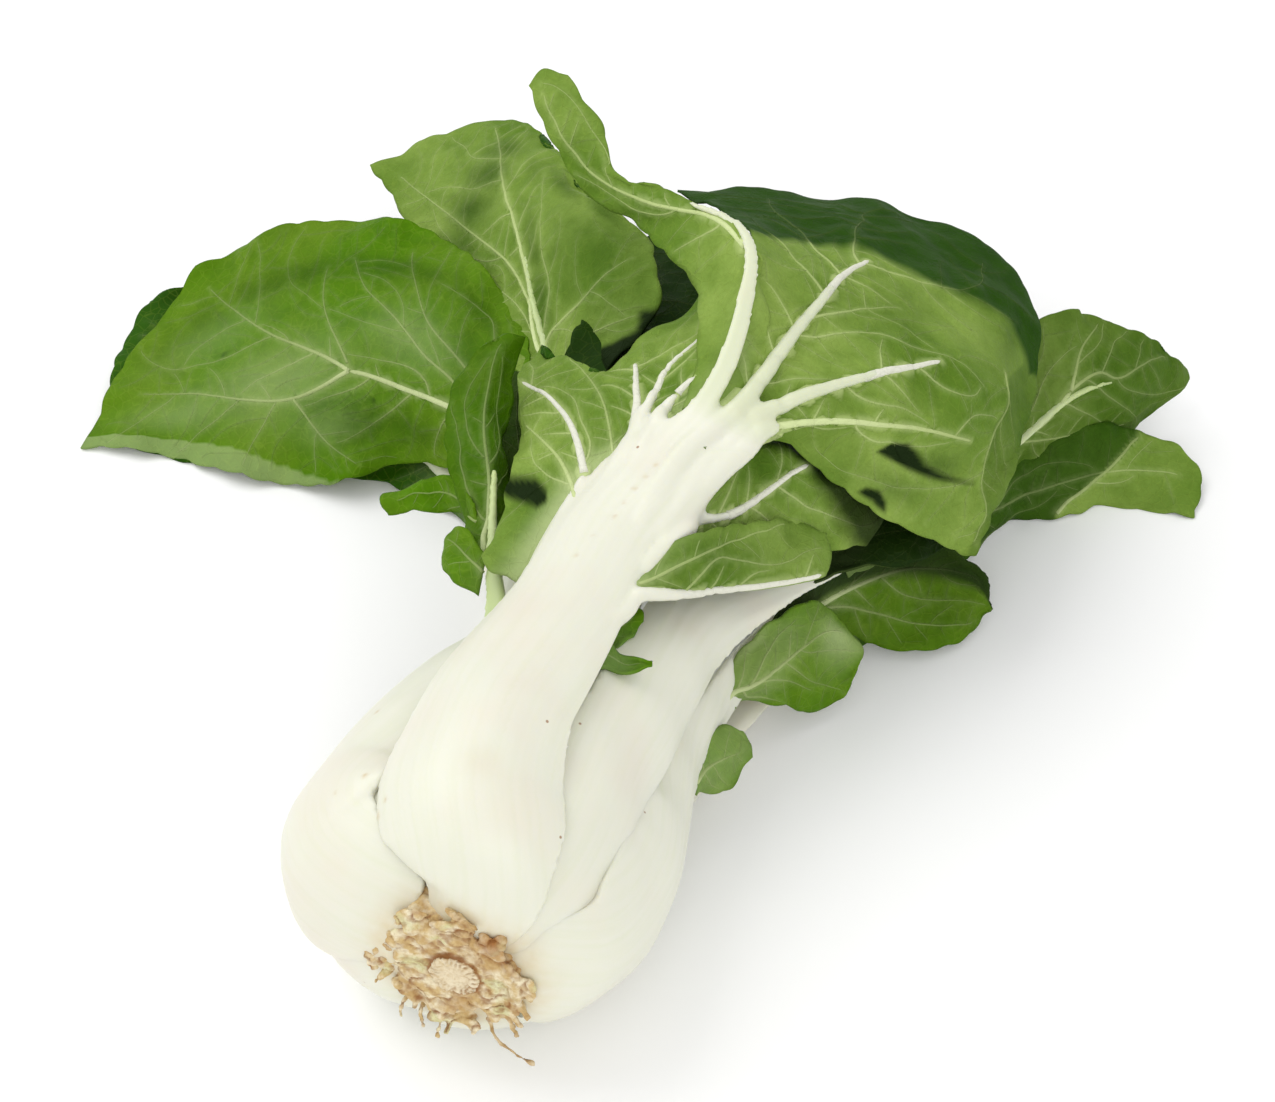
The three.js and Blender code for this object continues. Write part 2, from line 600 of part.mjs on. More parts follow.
// A sheet of a blade as a solid, with the same triangles on both faces.
function sheet(shape, grow = 0) {
  const surface = span(shape);
  const rows = Math.round(surface.length / ROW_STEP);
  const columns = Math.round(COLUMNS_PER_RAIL * surface.last) + 2;
  const faces = [[], []];
  for (let i = 0; i <= rows; i += 1) {
    for (let j = 0; j <= columns; j += 1) {
      const [t, s] = [i / rows, (surface.last * j) / columns];
      const out = surface.out(t, s);
      const point = surface.at(t, s);
      const inside = surface.at(
        THREE.MathUtils.clamp(t, NEXT_T, 1 - NEXT_T),
        THREE.MathUtils.clamp(s, NEXT_S, surface.last - NEXT_S),
      );
      point.addScaledVector(new THREE.Vector3().subVectors(point, inside).normalize(), grow);
      faces[0].push(point.clone().addScaledVector(out, BLADE_THICK / 2 + grow));
      faces[1].push(point.clone().addScaledVector(out, -BLADE_THICK / 2 - grow));
    }
  }
  const wide = columns + 1;
  const under = wide * (rows + 1);
  const triangles = [];
  for (let i = 0; i < rows; i += 1) {
    for (let j = 0; j < columns; j += 1) {
      const a = i * wide + j;
      triangles.push([a, a + wide, a + 1], [a + 1, a + wide, a + wide + 1]);
      triangles.push([a + under, a + 1 + under, a + wide + under]);
      triangles.push([a + 1 + under, a + wide + 1 + under, a + wide + under]);
    }
  }
  const wall = (a, b) => triangles.push([a, b, a + under], [b, b + under, a + under]);
  for (let i = 0; i < rows; i += 1) {
    wall((i + 1) * wide, i * wide);
    wall(i * wide + columns, (i + 1) * wide + columns);
  }
  for (let j = 0; j < columns; j += 1) {
    wall(j, j + 1);
    wall(rows * wide + j + 1, rows * wide + j);
  }
  return solid(faces.flat(), triangles);
}

// The root plate: a knobbly disc that the stalks grow from, with the cut root in its middle and the stubs
// of a few rootlets along its lower edge.
function rootPlate(grow = 0) {
  const ball = new THREE.SphereGeometry(1, PLATE_SIDES, PLATE_LEVELS);
  const places = ball.getAttribute("position");
  for (let i = 0; i < places.count; i += 1) {
    const at = new THREE.Vector3().fromBufferAttribute(places, i);
    const broad = Math.sin(7 * at.x + 2) * Math.sin(6 * at.z + 1);
    const fine = Math.sin(11 * at.x * at.z + 4 * at.y);
    at.multiplyScalar(1 + KNOB_SHARE * (broad + FINE_SHARE * fine));
    places.setXYZ(i, at.x, at.y, at.z);
  }
  ball.scale(PLATE_RADIUS + grow, PLATE_DEPTH + grow, PLATE_RADIUS + grow);
  ball.translate(BUTT[0], BUTT[1] + PLATE_DEPTH, BUTT[2]);
  const [near, far] = [CUT_RADIUS + grow, CUT_RADIUS + CUT_FLARE + grow];
  const cut = new THREE.CylinderGeometry(near, far, CUT_DEPTH + 2 * grow, CUT_SIDES);
  cut.rotateX(Math.PI / 2);
  cut.translate(BUTT[0], BUTT[1] + CUT_DEPTH / 2 - CUT_RAISED, BUTT[2]);
  return union([fromGeometry(ball), fromGeometry(cut), ...ROOTLETS.map((points) => rootlet(points, grow))]);
}

// A rootlet: a thin rod that tapers to a blunt tip.
function rootlet(points, grow) {
  const path = curve(points.map(vector));
  const rings = [];
  for (let i = 0; i <= ROOTLET_RINGS; i += 1) {
    const t = i / ROOTLET_RINGS;
    const along = path.getTangent(t);
    const out = new THREE.Vector3(1, 0, 0).addScaledVector(along, -along.x).normalize();
    const side = new THREE.Vector3().crossVectors(along, out);
    const radius = THREE.MathUtils.lerp(ROOTLET_RADIUS, ROOTLET_TIP, t) + grow;
    const middle = path.getPoint(t).addScaledVector(along, i === ROOTLET_RINGS ? grow : 0);
    rings.push(oval(middle, side, radius, out, radius));
  }
  return skin(rings);
}

const union = (solids) => solids.reduce((sum, next) => sum.add(next));
const biggest = (made) => made.decompose().sort((a, b) => b.volume() - a.volume())[0];

const slab = new THREE.BoxGeometry(SURFACE_SIZE, SURFACE_SIZE, SURFACE_SIZE);
slab.translate(0, 0, -SURFACE_SIZE / 2);
const surface = fromGeometry(slab);

const head = new THREE.Group();
const placed = [];

// Adds a piece, cut clear of the pieces placed before it and flat where it rests.
function place(name, finish, made, grown) {
  const clear = placed.reduce((rest, other) => rest.subtract(other), made.subtract(surface));
  const piece = biggest(clear.simplify(SIMPLER));
  const { vertProperties, triVerts, numProp } = piece.getMesh();
  const geometry = new THREE.BufferGeometry();
  geometry.setAttribute("position", new THREE.BufferAttribute(vertProperties, numProp));
  geometry.setIndex(new THREE.BufferAttribute(triVerts, 1));
  const mesh = new THREE.Mesh(geometry, new THREE.MeshStandardMaterial(finish));
  mesh.name = name;
  head.add(mesh);
  placed.push(grown.add(made));
}

place("root_plate", TAN_ROOT, rootPlate(), rootPlate(GAP));
const bladeOf = (leaf, grow) => union(leaf.blade.map((shape) => sheet(shape, grow)));
const stalkOf = (leaf, grow) => {
  return union([stalk(leaf.stalk, grow), ...leaf.veins.map((route) => vein(leaf, route, grow))]);
};
for (const [name, leaf, finish] of LEAVES) {
  place(name + "_blade", finish, bladeOf(leaf, 0), bladeOf(leaf, GAP));
  for (const [number, lobe] of (leaf.lobes ?? []).entries()) {
    place(name + "_lobe_" + (number + 1), finish, sheet(lobe), sheet(lobe, GAP));
  }
}
for (const [name, leaf] of LEAVES) {
  place(name + "_stalk", WHITE_STALK, stalkOf(leaf, 0), stalkOf(leaf, GAP));
}

export default head;
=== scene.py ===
"""A head of white-stalked bok choy lying on its side: every leaf is dressed over its fixed solids."""

import json
import math

import bpy
import numpy as np
from mathutils.kdtree import KDTree
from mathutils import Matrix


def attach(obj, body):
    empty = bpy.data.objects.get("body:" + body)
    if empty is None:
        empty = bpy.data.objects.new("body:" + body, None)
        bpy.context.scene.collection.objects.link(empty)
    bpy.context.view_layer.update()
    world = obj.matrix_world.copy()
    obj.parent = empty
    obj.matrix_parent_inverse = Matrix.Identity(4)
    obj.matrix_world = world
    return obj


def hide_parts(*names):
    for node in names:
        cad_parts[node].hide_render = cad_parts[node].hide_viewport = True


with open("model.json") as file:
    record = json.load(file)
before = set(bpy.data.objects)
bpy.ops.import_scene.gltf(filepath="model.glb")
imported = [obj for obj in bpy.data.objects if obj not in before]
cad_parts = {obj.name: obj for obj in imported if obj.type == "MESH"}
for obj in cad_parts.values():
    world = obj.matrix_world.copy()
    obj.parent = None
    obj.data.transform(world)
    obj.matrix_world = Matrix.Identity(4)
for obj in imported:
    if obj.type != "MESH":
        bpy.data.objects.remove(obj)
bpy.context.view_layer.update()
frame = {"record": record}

bl_info = {
    "name": "Bok choy",
    "version": (1, 0, 0),
    "blender": (4, 5, 0),
    "location": "View3D > Sidebar > Bok choy",
    "description": "Builds a head of bok choy with veined leaves, ribbed stalks and a rough root plate",
    "category": "Object",
}

MM = 0.001  # every shape below is in millimetres, Blender in metres
SEED = 7
THINNEST_ROD = 2.5  # narrower veins are crests of the blade alone
VEIN_STEP = 1.4  # between two points of a vein
VEIN_SHADED = 0.75  # how much of a vein's paleness the deepest shade takes away
TEAR_EDGE = 2  # how soft the edge of a painted tear is
CLEAR = 0.05  # between the lowest leaf and the floor
ROOT_VOXEL = 0.5  # grid that joins the root plate's parts

# The camera looks down at 45 degrees, from the right of the root end.
CAMERA_PLACE = (182.1, -466.1, 630.4)
CAMERA_TILT = 45
CAMERA_TURN = 18.3
CAMERA_LENS = 91.7

# The head's long axis and the round of its bulb.
BUTT = (0, -48, 40)
BULB_MIDDLE = -12
BULB_LEAN = -7
UNDER_SHARE = 0.93
BULB_RADIUS = 44
BULB = (
    (12, -46, 0.42, 0.6),
    (25, -45, 0.62, 0.8),
    (37, -38, 0.84, 0.95),
    (BULB_RADIUS, -24, 0.98, 1),
)


# A leaf has:
# - stalk: stations from the root plate on, each x, y, z, its angle round the head, width, thickness and the
#   radius that its outer face is bent to
# - fresh, freshest: the least and the most green at the stalk's upper end
# - marks: scuffs on the stalk, each x, y, z, width and share
# - faces: the finish of a blade's side towards the light and of its other side
# - blade, lobes: sheets
# A sheet's rails are lines of points from its root to its far margin. A place on it is (t, s): t is the share
# of the way along the rails, s counts the rails. A sheet has:
# - turned: its light side is the other one; fan: its rails spread from one place; under: how far it goes on
#   below its root; free: its free margins; ripple: the share of the long waves that it gets
# - veins: each its width at the root and at the end, then its places
# - rods: thick main veins, each the width of its stem on the stalk, the stem's points, then as a vein
# - dark, deep: painted shade and painted shadow all over it; patches, faded: soft spots of painted shade and
#   of painted sheen in a paler, greyer green, each t, s, length, width and share
# - zones: what lies beyond a line, each a tint, its share (what lies before the line if below 0), the softness
#   of the edge and the line's (s, t) places; tears: outlines painted near-black, a painted shadow where it is
#   torn


def rooted(angle, share, wide, thick, bend, stations, swing=0):
    """A stalk's stations, share times as big as the bulb; it swings to its angle on its way from the root."""
    start = []
    for radius, y, width, depth in BULB:
        degrees = angle + swing * (1 - radius / BULB_RADIUS)
        turn = math.radians(degrees)
        under = UNDER_SHARE if math.sin(turn) < 0 else 1
        start.append((
            BUTT[0] + math.cos(turn) * radius * share + BULB_LEAN * radius / BULB_RADIUS,
            BULB_MIDDLE + (y - BULB_MIDDLE) * (share + 2) / 3,
            BUTT[2] + math.sin(turn) * radius * share * under,
            degrees,
            wide * width,
            thick * depth,
            bend,
        ))
    return start + stations


FRONT = {
    "freshest": 0.3,
    "stalk": [
        (2, -46, 52, 88, 20, 7, 27),
        (4, -45, 65, 86, 34, 9.6, 27),
        (1, -38, 77, 87, 48, 11.4, 27),
        (-5, -24, 83, 93, 51, 12, 27),
        (-7, -4, 86, 97, 46, 12, 26),
        (-5, 16, 85, 96, 40, 11, 24),
        (-2, 38, 84, 94, 33, 10, 22),
        (0, 60, 85, 92, 29, 9, 22),
        (4, 72, 87, 91, 31, 8.4, 26),
        (6.5, 80, 88.5, 90, 25, 7.4, 26),
        (8.5, 87, 90.5, 88, 13, 6.4, 20),
        (12.5, 95, 94.5, 87, 7, 6, 12),
        (16, 106, 101.5, 86, 5.8, 5, 8),
        (16, 120, 108, 84, 5, 4.4, 6),
        (13, 135, 113, 92, 3.8, 3.4, 4),
        (5, 144, 113.5, 105, 2.6, 2.6, 4),
        (-8, 151, 110.5, 110, 1.6, 2, 4),
    ],
    "marks": (
        (7, 78, 88, 0.7, 0.5), (5.6, 74, 87.6, 0.6, 0.4), (4, 70, 87, 0.6, 0.5), (3, 65.5, 86, 0.5, 0.4),
        (2, 61, 85, 0.6, 0.45), (-1, 54, 84, 0.5, 0.35), (-3, 47, 84, 0.6, 0.4), (-23, -32, 69, 0.8, 0.6),
        (-22, -30, 73, 0.6, 0.5), (-3, -21, 84, 4.5, 0.12), (-21, -34, 66, 0.6, 0.5),
    ),
    "faces": ("leaf_underside", "dark_leaf"),
    "blade": (
        {
            "fan": True,
            "under": 9,
            "free": ("low", "far"),
            "rails": (
                ((-15, 42, 76), (-19, 42, 77), (-23, 42, 78), (-27, 46, 77)),
                ((-12, 58, 78.5), (-18, 62, 80), (-24, 66, 79), (-28, 70, 77)),
                ((-8, 72, 81), (-17, 83, 82), (-27, 93, 79), (-39, 105, 74)),
                ((-3, 82, 83), (-13, 97, 85), (-27, 112, 80), (-42, 125, 73)),
                ((2, 89, 86.5), (-5, 103, 87.5), (-13, 111, 85), (-23, 113, 80)),
                ((8, 93, 89), (5, 108, 93), (0, 122, 90), (-9, 135, 82)),
                ((14, 95, 92), (15, 112, 100), (11, 128, 98), (0, 146, 88)),
            ),
            "rods": (
                (
                    5,
                    ((-13, 44, 79), (-13, 56, 79.5), (-12, 66, 81)),
                    2.6, 1.2, (0.1, 2.02), (0.29, 2.19), (0.41, 2.28), (0.55, 2.34), (0.71, 2.34),
                    (0.96, 2.25),
                ),
                (
                    6,
                    ((-6, 60, 84), (-5.5, 74, 85), (-4.5, 84, 86.5)),
                    3.4, 1.4, (0.1, 3.55), (0.24, 3.75), (0.32, 3.84), (0.47, 3.96), (0.73, 4.26),
                ),
                (
                    6,
                    ((-4, 60, 84.5), (-3, 74, 86), (-2, 84, 87.5)),
                    4.2, 1.2, (0.08, 3.7), (0.18, 3.9), (0.26, 4.11), (0.36, 4.35), (0.46, 4.62),
                    (0.51, 4.98), (0.54, 5.34),
                ),
                (
                    7,
                    ((-1, 62, 86), (0, 76, 87), (1, 86, 89)),
                    5, 1.6, (0.06, 4.35), (0.11, 4.41), (0.15, 4.59), (0.18, 4.86), (0.21, 5.1),
                    (0.23, 5.31),
                ),
            ),
            # Tears painted near-black, the shadow seen through them
            "tears": (
                (
                    (0.3, 1.19), (0.36, 1.3), (0.55, 1.32), (0.8, 1.2), (1.02, 1.1), (1.02, 0.9),
                    (0.6, 0.97), (0.4, 1.02),
                ),
            ),
            "veins": (
                (1.7, 0.7, (0, 1.6), (0.2, 1.71), (0.58, 1.77), (0.89, 1.77)),
                (1.1, 0.5, (0.03, 2.8), (0.4, 3.1), (0.8, 3.3)),
            ),
        },
        {
            "fan": True,
            "ripple": 0.25,
            "under": 9,
            "free": ("high", "far"),
            "rails": (
                ((14, 95, 92), (16, 112, 101), (14, 134, 107), (4, 160, 100), (-27, 201, 71)),
                ((18, 94, 91), (24, 118, 98), (26, 150, 95), (16, 190, 80), (2, 221, 63)),
                ((20, 94, 90), (31, 120, 94), (38, 152, 89), (38, 190, 76), (32, 226, 60)),
                ((21, 93, 89), (39, 112, 91), (54, 138, 85), (64, 172, 72), (67, 214, 56)),
                ((21, 92, 88), (40, 105, 88), (58, 122, 80), (74, 146, 68), (81, 181, 51)),
                ((20, 91, 87), (36, 104, 86), (52, 114, 75), (68, 126, 60), (82, 144, 46)),
                ((19, 90, 86), (32, 101, 83), (44, 105, 70), (60, 110, 55), (80, 119, 41)),
            ),
            "rods": (
                (
                    9,
                    ((9, 58, 84.5), (11.5, 74, 88), (14, 84, 90.5)),
                    5.8, 1.6, (0.03, 1.35), (0.15, 1.33), (0.28, 1.3), (0.43, 1.41), (0.57, 1.75),
                ),
                (
                    9,
                    ((13, 58, 83), (16, 74, 87), (19, 84, 89), (22, 89, 90)),
                    5.6, 1.4, (0.05, 2.75), (0.1, 2.79), (0.21, 2.91), (0.37, 3.12), (0.49, 3.24),
                ),
                (
                    9,
                    ((16, 57, 81.5), (18.5, 73, 85.5), (22, 82, 88), (26, 89, 89.5)),
                    5.6, 4.4, (0.06, 3.75), (0.1, 3.76),
                ),
            ),
            "veins": (
                (2.4, 1, (0.08, 3.72), (0.14, 3.78), (0.2, 3.93), (0.34, 4.14), (0.47, 4.29), (0.7, 4.5)),
                (1.3, 0.5, (0.28, 1.3), (0.36, 1.9), (0.5, 2.4)),
                (0.9, 0.6, (0.74, 3.7), (0.77, 4.1), (0.78, 4.4), (0.83, 4.71), (0.95, 5.43), (0.98, 5.88)),
            ),
            # Painted shade: the far band that turns away from the light, and the strip beyond the fold
            "zones": (
                (
                    "shade", 1, 6, (0.12, 0.48), (1.1, 0.59), (1.98, 0.65), (2.46, 0.66), (2.94, 0.74),
                    (3.54, 0.87), (3.96, 0.95), (4.1, 1.1),
                ),
                (
                    "shade", 0.4, 1, (3.7, 1.1), (3.81, 0.76), (4.32, 0.76), (4.71, 0.83), (5.43, 0.95),
                    (5.91, 0.98),
                ),
            ),
            # Painted shade on the torn flap and along its folds
            "patches": (
                (0.66, 4.9, 16, 4, 0.5), (0.6, 5.5, 16, 6, 0.4), (0.8, 3.4, 14, 10, 0.4),
                (0.5, 2.4, 16, 7, 0.2),
            ),
            # Tears painted near-black, the shadow seen through them
            "tears": (
                (
                    (0.47, 5.04), (0.48, 4.76), (0.52, 4.7), (0.57, 4.78), (0.63, 4.93), (0.72, 5),
                    (0.86, 5.07), (0.72, 5.09), (0.6, 5.1), (0.52, 5.07),
                ),
                ((0.52, 5.86), (0.53, 5.72), (0.57, 5.66), (0.62, 5.76), (0.64, 5.9), (0.59, 5.9)),
            ),
        },
        {
            "rails": (
                (
                    (8, 96, 91), (7, 108, 96), (2, 126, 99), (-16, 148, 98), (-33, 157, 96), (-42, 162, 101),
                    (-53, 168, 110), (-59, 173, 119),
                ),
                (
                    (15, 97, 94), (16, 112, 101), (14, 128, 108), (1, 145, 110), (-22, 155, 105),
                    (-38, 163, 105), (-47, 170, 113), (-56, 177, 122),
                ),
                (
                    (22, 98, 91), (23, 112, 97), (20, 128, 104), (9, 142, 112), (-14, 156, 108),
                    (-33, 161, 107), (-38, 170, 114), (-50, 178, 120),
                ),
            ),
            "veins": ((2, 0.6, (0.35, 1.3), (0.5, 1.02), (0.74, 0.8), (0.86, 0.5), (0.96, 0.5)),),
        },
        {
            "turned": True,
            "ripple": 0.3,
            "free": ("high", "far"),
            "rails": (
                ((7.6, 39, 79), (16, 45, 77.4), (27.6, 59, 69), (38.8, 73, 61), (47.4, 86.4, 55.2)),
                ((7, 44, 80), (18, 50, 79), (30, 64, 72), (40, 78, 64), (48, 90, 57)),
                ((9, 60, 79), (20, 62, 83), (30, 77, 76.5), (39, 90, 68.5), (46, 95, 61)),
            ),
            "rods": (
                (
                    6,
                    ((8, 20, 81.5), (10, 30, 81.5), (13, 37, 80.5)),
                    3.6, 1.4, (0.1, 0.17), (0.2, 0.2), (0.35, 0.16), (0.54, 0.16), (0.74, 0.2), (0.96, 0.3),
                ),
            ),
            # Painted shade all over
            "dark": 0.2,
            "veins": ((1.2, 0.5, (0.1, 0.9), (0.26, 1.45), (0.5, 1.7), (0.77, 1.9)),),
            "zones": (("pale", -0.8, 9, (0, 0.12), (1, 0.06), (2, 0.1)),),
        },
        {
            "turned": True,
            "rails": (
                ((9, 54, 78), (22, 66, 74), (34, 80, 64), (43, 89, 59), (55, 105, 51)),
                ((13, 70, 83), (24, 82, 78), (36, 95, 71), (47, 106, 62), (57, 115, 52)),
                ((18, 87, 85), (27, 97, 82), (38, 104, 74), (48, 110, 64), (59, 119, 52)),
                ((18, 94, 83), (30, 108, 76.5), (44, 111, 66), (55, 115, 56), (64, 122, 48)),
            ),
            "rods": (
                (
                    6,
                    ((14, 48, 81), (17, 58, 82), (20, 66, 82)),
                    3.8, 1.4, (0.14, 0.66), (0.29, 0.7), (0.39, 1.08), (0.46, 2),
                ),
            ),
            # Painted shade and painted shadow where it lies under the flap
            "patches": ((0.4, 2.8, 22, 7, 0.9), (0.8, 2.2, 12, 8, 0.7), (0.3, 1.6, 10, 5, 0.4)),
            "zones": (("gap", 0.9, 9, (0, 0.95), (1, 0.7), (2, 0.45), (3, 0.2)),),
        },
    ),
}

RIGHT_UPPER = {
    "stalk": rooted(39, 0.92, 46, 12, 25, [
        (24, 0, 67, 42, 36, 12, 25),
        (24.5, 21, 65.5, 42, 31, 11, 22),
        (25, 41, 62, 42, 31, 9, 18),
        (26, 63, 57, 48, 28, 8, 16),
        (33, 87, 47, 56, 17, 6, 12),
        (50, 122, 34, 60, 9, 5, 9),
        (62, 150, 28, 68, 6, 4, 6),
        (76, 177, 27, 76, 4, 3.4, 5),
        (88, 198, 31, 80, 2.6, 2.6, 5),
        (100, 214, 28, 85, 1.6, 1.8, 5),
    ]),
    "faces": ("leaf_underside", "dark_leaf"),
    "blade": (
        {
            "rails": (
                ((44, 112, 36), (50, 150, 38), (62, 186, 42), (80, 213, 46), (99, 226, 34), (112, 238, 15)),
                ((47, 112, 36), (60, 148, 29), (74, 176, 28), (87, 198, 31), (102, 216, 26), (114, 238, 13)),
                ((50, 110, 34), (66, 146, 17), (76, 176, 10), (88, 194, 7), (102, 212, 7), (115, 236, 11)),
            ),
            "veins": (
                (3, 1.5, (0, 1), (0.3, 1.05), (0.56, 1.15), (0.65, 0.98)),
                (1.5, 0.5, (0.65, 0.96), (0.69, 0.54), (0.76, 0.1)),
                (1.4, 0.5, (0.65, 0.96), (0.72, 0.85), (0.78, 0.95), (0.93, 0.4)),
                (1.2, 0.5, (0.5, 1.1), (0.62, 1.5), (0.8, 1.7)),
                (1.2, 0.5, (0.35, 1.05), (0.45, 0.6), (0.6, 0.2)),
            ),
            # Painted shade all over: it lies in the flap's shadow
            "dark": 0.45,
        },
        # A sheet painted as shadow all over, filling the dark space between the leaves
        {
            "rails": (
                ((40, 98, 36), (46, 102, 38), (55, 107, 40), (65, 113, 40), (71, 122, 38)),
                ((36, 104, 38), (41, 114, 42), (52, 124, 46), (64, 131, 45), (73, 134, 40)),
            ),
            "veins": ((1, 0.4, (0, 0.5), (0.9, 0.5)),),
            "deep": 0.85,
        },
    ),
}

RIGHT_OUTER = {
    "stalk": rooted(-11, 1, 62, 12, 31, [
        (38, -6, 30, -10, 65, 12, 31),
        (37, 10, 31, -5, 53, 10, 28),
        (33, 30, 32, 2, 35, 9, 22),
        (32, 50, 31, 8, 22, 8, 18),
        (33, 72, 29, 22, 13, 6, 13),
        (38, 94, 28, 45, 8, 5, 8),
        (47, 112, 25, 70, 5, 4, 5),
        (55, 121, 21, 78, 2.4, 2.6, 5),
    ], swing=24),
    "faces": ("bright_leaf", "leaf_underside"),
    "blade": (
        {
            "rails": (
                ((35, 88, 30), (42, 108, 36), (53, 125, 34), (65, 135, 27), (75, 140, 18), (82, 138, 9)),
                ((37, 90, 27), (46, 108, 26), (56, 122, 22), (66, 133, 16), (76, 138, 12), (83, 136, 8)),
                ((39, 86, 26), (45, 102, 16), (55, 112, 7), (67, 117, 3), (78, 124, 4), (83, 134, 7)),
            ),
            "veins": (
                (2.6, 0.6, (0.02, 1), (0.19, 0.95), (0.35, 0.93), (0.6, 0.87), (0.92, 0.8)),
                (1.4, 0.5, (0.12, 1), (0.26, 1.23), (0.43, 1.47), (0.61, 1.62), (0.9, 1.8)),
                (1.2, 0.5, (0.3, 0.93), (0.5, 0.5), (0.7, 0.3)),
            ),
            # Painted shade all over, and painted shade and shadow on its upper part under the flap
            "dark": 0.3,
            "patches": ((0.35, 0.3, 16, 8, 0.9), (0.6, 0.35, 16, 9, 0.85), (0.86, 0.7, 10, 10, 0.7)),
            "zones": (("gap", 0.85, 40, (0, -0.9), (0.5, -0.5), (1.3, 1.3), (2, 1.3)),),
        },
    ),
    "lobes": (
        {
            "rails": (
                ((31, 60, 31), (31, 71, 34), (35, 84, 36), (41, 94, 36), (47, 99, 31), (52, 101, 24)),
                ((31, 62, 28), (35, 68, 28), (39, 76, 28), (44, 85, 27), (49, 94, 24), (56, 100, 18)),
                ((33, 64, 25), (35, 72, 20), (42, 78, 15), (48, 82, 8), (54, 90, 7), (56, 96, 14)),
            ),
            "veins": (
                (2, 0.5, (0, 0.7), (0.28, 0.98), (0.66, 0.84), (0.9, 0.7)),
                (1, 0.4, (0.2, 0.92), (0.4, 1.4), (0.62, 1.65)),
                (1, 0.4, (0.15, 0.88), (0.35, 0.5), (0.6, 0.25)),
            ),
            # Painted sheen: paler, greyer green where the light grazes the blade
            "sheen_spots": ((0.3, 0.1, 8, 3, 0.3), (0.85, 0.9, 8, 8, 0.35)),
        },
        {
            "rails": (
                ((31, 31, 33), (31, 43, 33), (32, 51, 31), (35, 54, 28), (38, 55, 25)),
                ((32, 33, 29), (34, 40, 27), (36, 46, 26), (38, 51, 25), (40, 54, 24)),
                ((32, 34, 24), (34, 40, 19), (37, 45, 17), (39, 49, 19), (41, 52, 22)),
            ),
            "veins": ((1.6, 0.4, (0, 0.6), (0.44, 0.85), (0.85, 1.15)),),
        },
    ),
}

LEFT_OUTER = {
    "stalk": [
        (-13, -47, 45, 149, 36, 7.2, 30),
        (-29, -46, 49, 153, 51, 9.6, 30),
        (-43, -39, 51, 157, 61, 11.4, 30),
        (-50, -25, 52, 160, 67, 12, 30),
        (-48, -7, 52, 157, 66, 12, 29),
        (-41, 11, 55, 150, 57, 10, 28),
        (-33, 30, 57, 141, 42, 9, 24),
        (-26, 50, 53, 138, 28, 8, 20),
        (-31, 75, 46, 136, 16, 7, 16),
        (-40, 100, 40, 130, 8.6, 5.4, 10),
        (-44, 118, 36.5, 118, 5.2, 4.2, 6),
        (-47.5, 131, 33.2, 108, 3.4, 2.8, 5),
    ],
    "marks": ((-30, -23, 71, 0.7, 0.7), (-38, 4, 61, 0.6, 0.7), (-36, -27, 67, 0.5, 0.4)),
    "faces": ("bright_leaf", "leaf_underside"),
    "blade": (
        {
            "rails": (
                (
                    (-44, 126, 31), (-60, 131, 19), (-84, 135, 11), (-106, 125, 5), (-132, 124, 3),
                    (-158, 125, 2), (-178, 122, 2),
                ),
                (
                    (-44, 129, 34), (-74, 142, 30), (-104, 150, 27), (-130, 144, 19), (-154, 136, 11),
                    (-177, 130, 5),
                ),
                (
                    (-45, 132, 39), (-64, 153, 41), (-90, 173, 41), (-116, 176, 36), (-146, 168, 25),
                    (-175, 149, 12),
                ),
                (
                    (-46, 136, 43), (-60, 164, 45), (-88, 189, 45), (-117, 197, 41), (-144, 194, 34),
                    (-165, 180, 24),
                ),
            ),
            "veins": (
                (2.6, 1.5, (0, 1), (0.14, 0.92), (0.23, 0.96), (0.34, 0.94), (0.46, 0.97)),
                (1.7, 0.5, (0.46, 0.97), (0.58, 1.29), (0.71, 1.67), (0.9, 2.5)),
                (1.7, 0.5, (0.46, 0.97), (0.52, 0.82), (0.6, 0.78), (0.7, 0.9), (0.8, 1.1), (0.92, 1.3)),
                (1.1, 0.5, (0.57, 0.78), (0.5, 0.4), (0.42, 0.1)),
                (1.3, 0.5, (0.14, 0.95), (0.23, 1.29), (0.34, 1.4), (0.49, 1.77), (0.58, 2.3)),
                (1.3, 0.5, (0.1, 1.1), (0.21, 1.51), (0.35, 1.67), (0.43, 2.05), (0.5, 2.6)),
                (1, 0.5, (0.47, 1.05), (0.57, 1.65), (0.62, 2.2)),
            ),
            "zones": (("pale", 0.22, 1.2, (0, 0.46), (0.3, 0.7), (0.39, 0.86), (0.42, 1.1), (3, 1.1)),),
            # Painted shade in its folds; the two smallest are holes, painted as dark spots
            "patches": (
                (0.28, 2.3, 16, 7, 0.5), (0.47, 2.2, 20, 7, 0.5), (0.68, 2.2, 20, 7, 0.5),
                (0.24, 1.8, 9, 9, 0.4), (0.42, 0.5, 15, 6, 0.5), (0.33, 0.45, 9, 6, 0.55),
                (0.5, 0.66, 5, 3, 0.5), (0.85, 1.9, 14, 10, 0.25), (0.76, 1.48, 0.9, 0.9, 1),
                (0.4, 0.72, 0.9, 0.9, 1),
            ),
            # Painted sheen: paler, greyer green where the light grazes the blade
            "sheen_spots": (
                (0.62, 1, 22, 12, 0.17), (0.8, 0.85, 16, 9, 0.14), (0.36, 1.45, 16, 8, 0.13),
                (0.5, 0.5, 10, 5, 0.1), (0.8, 1.7, 16, 8, 0.08),
            ),
        },
    ),
}

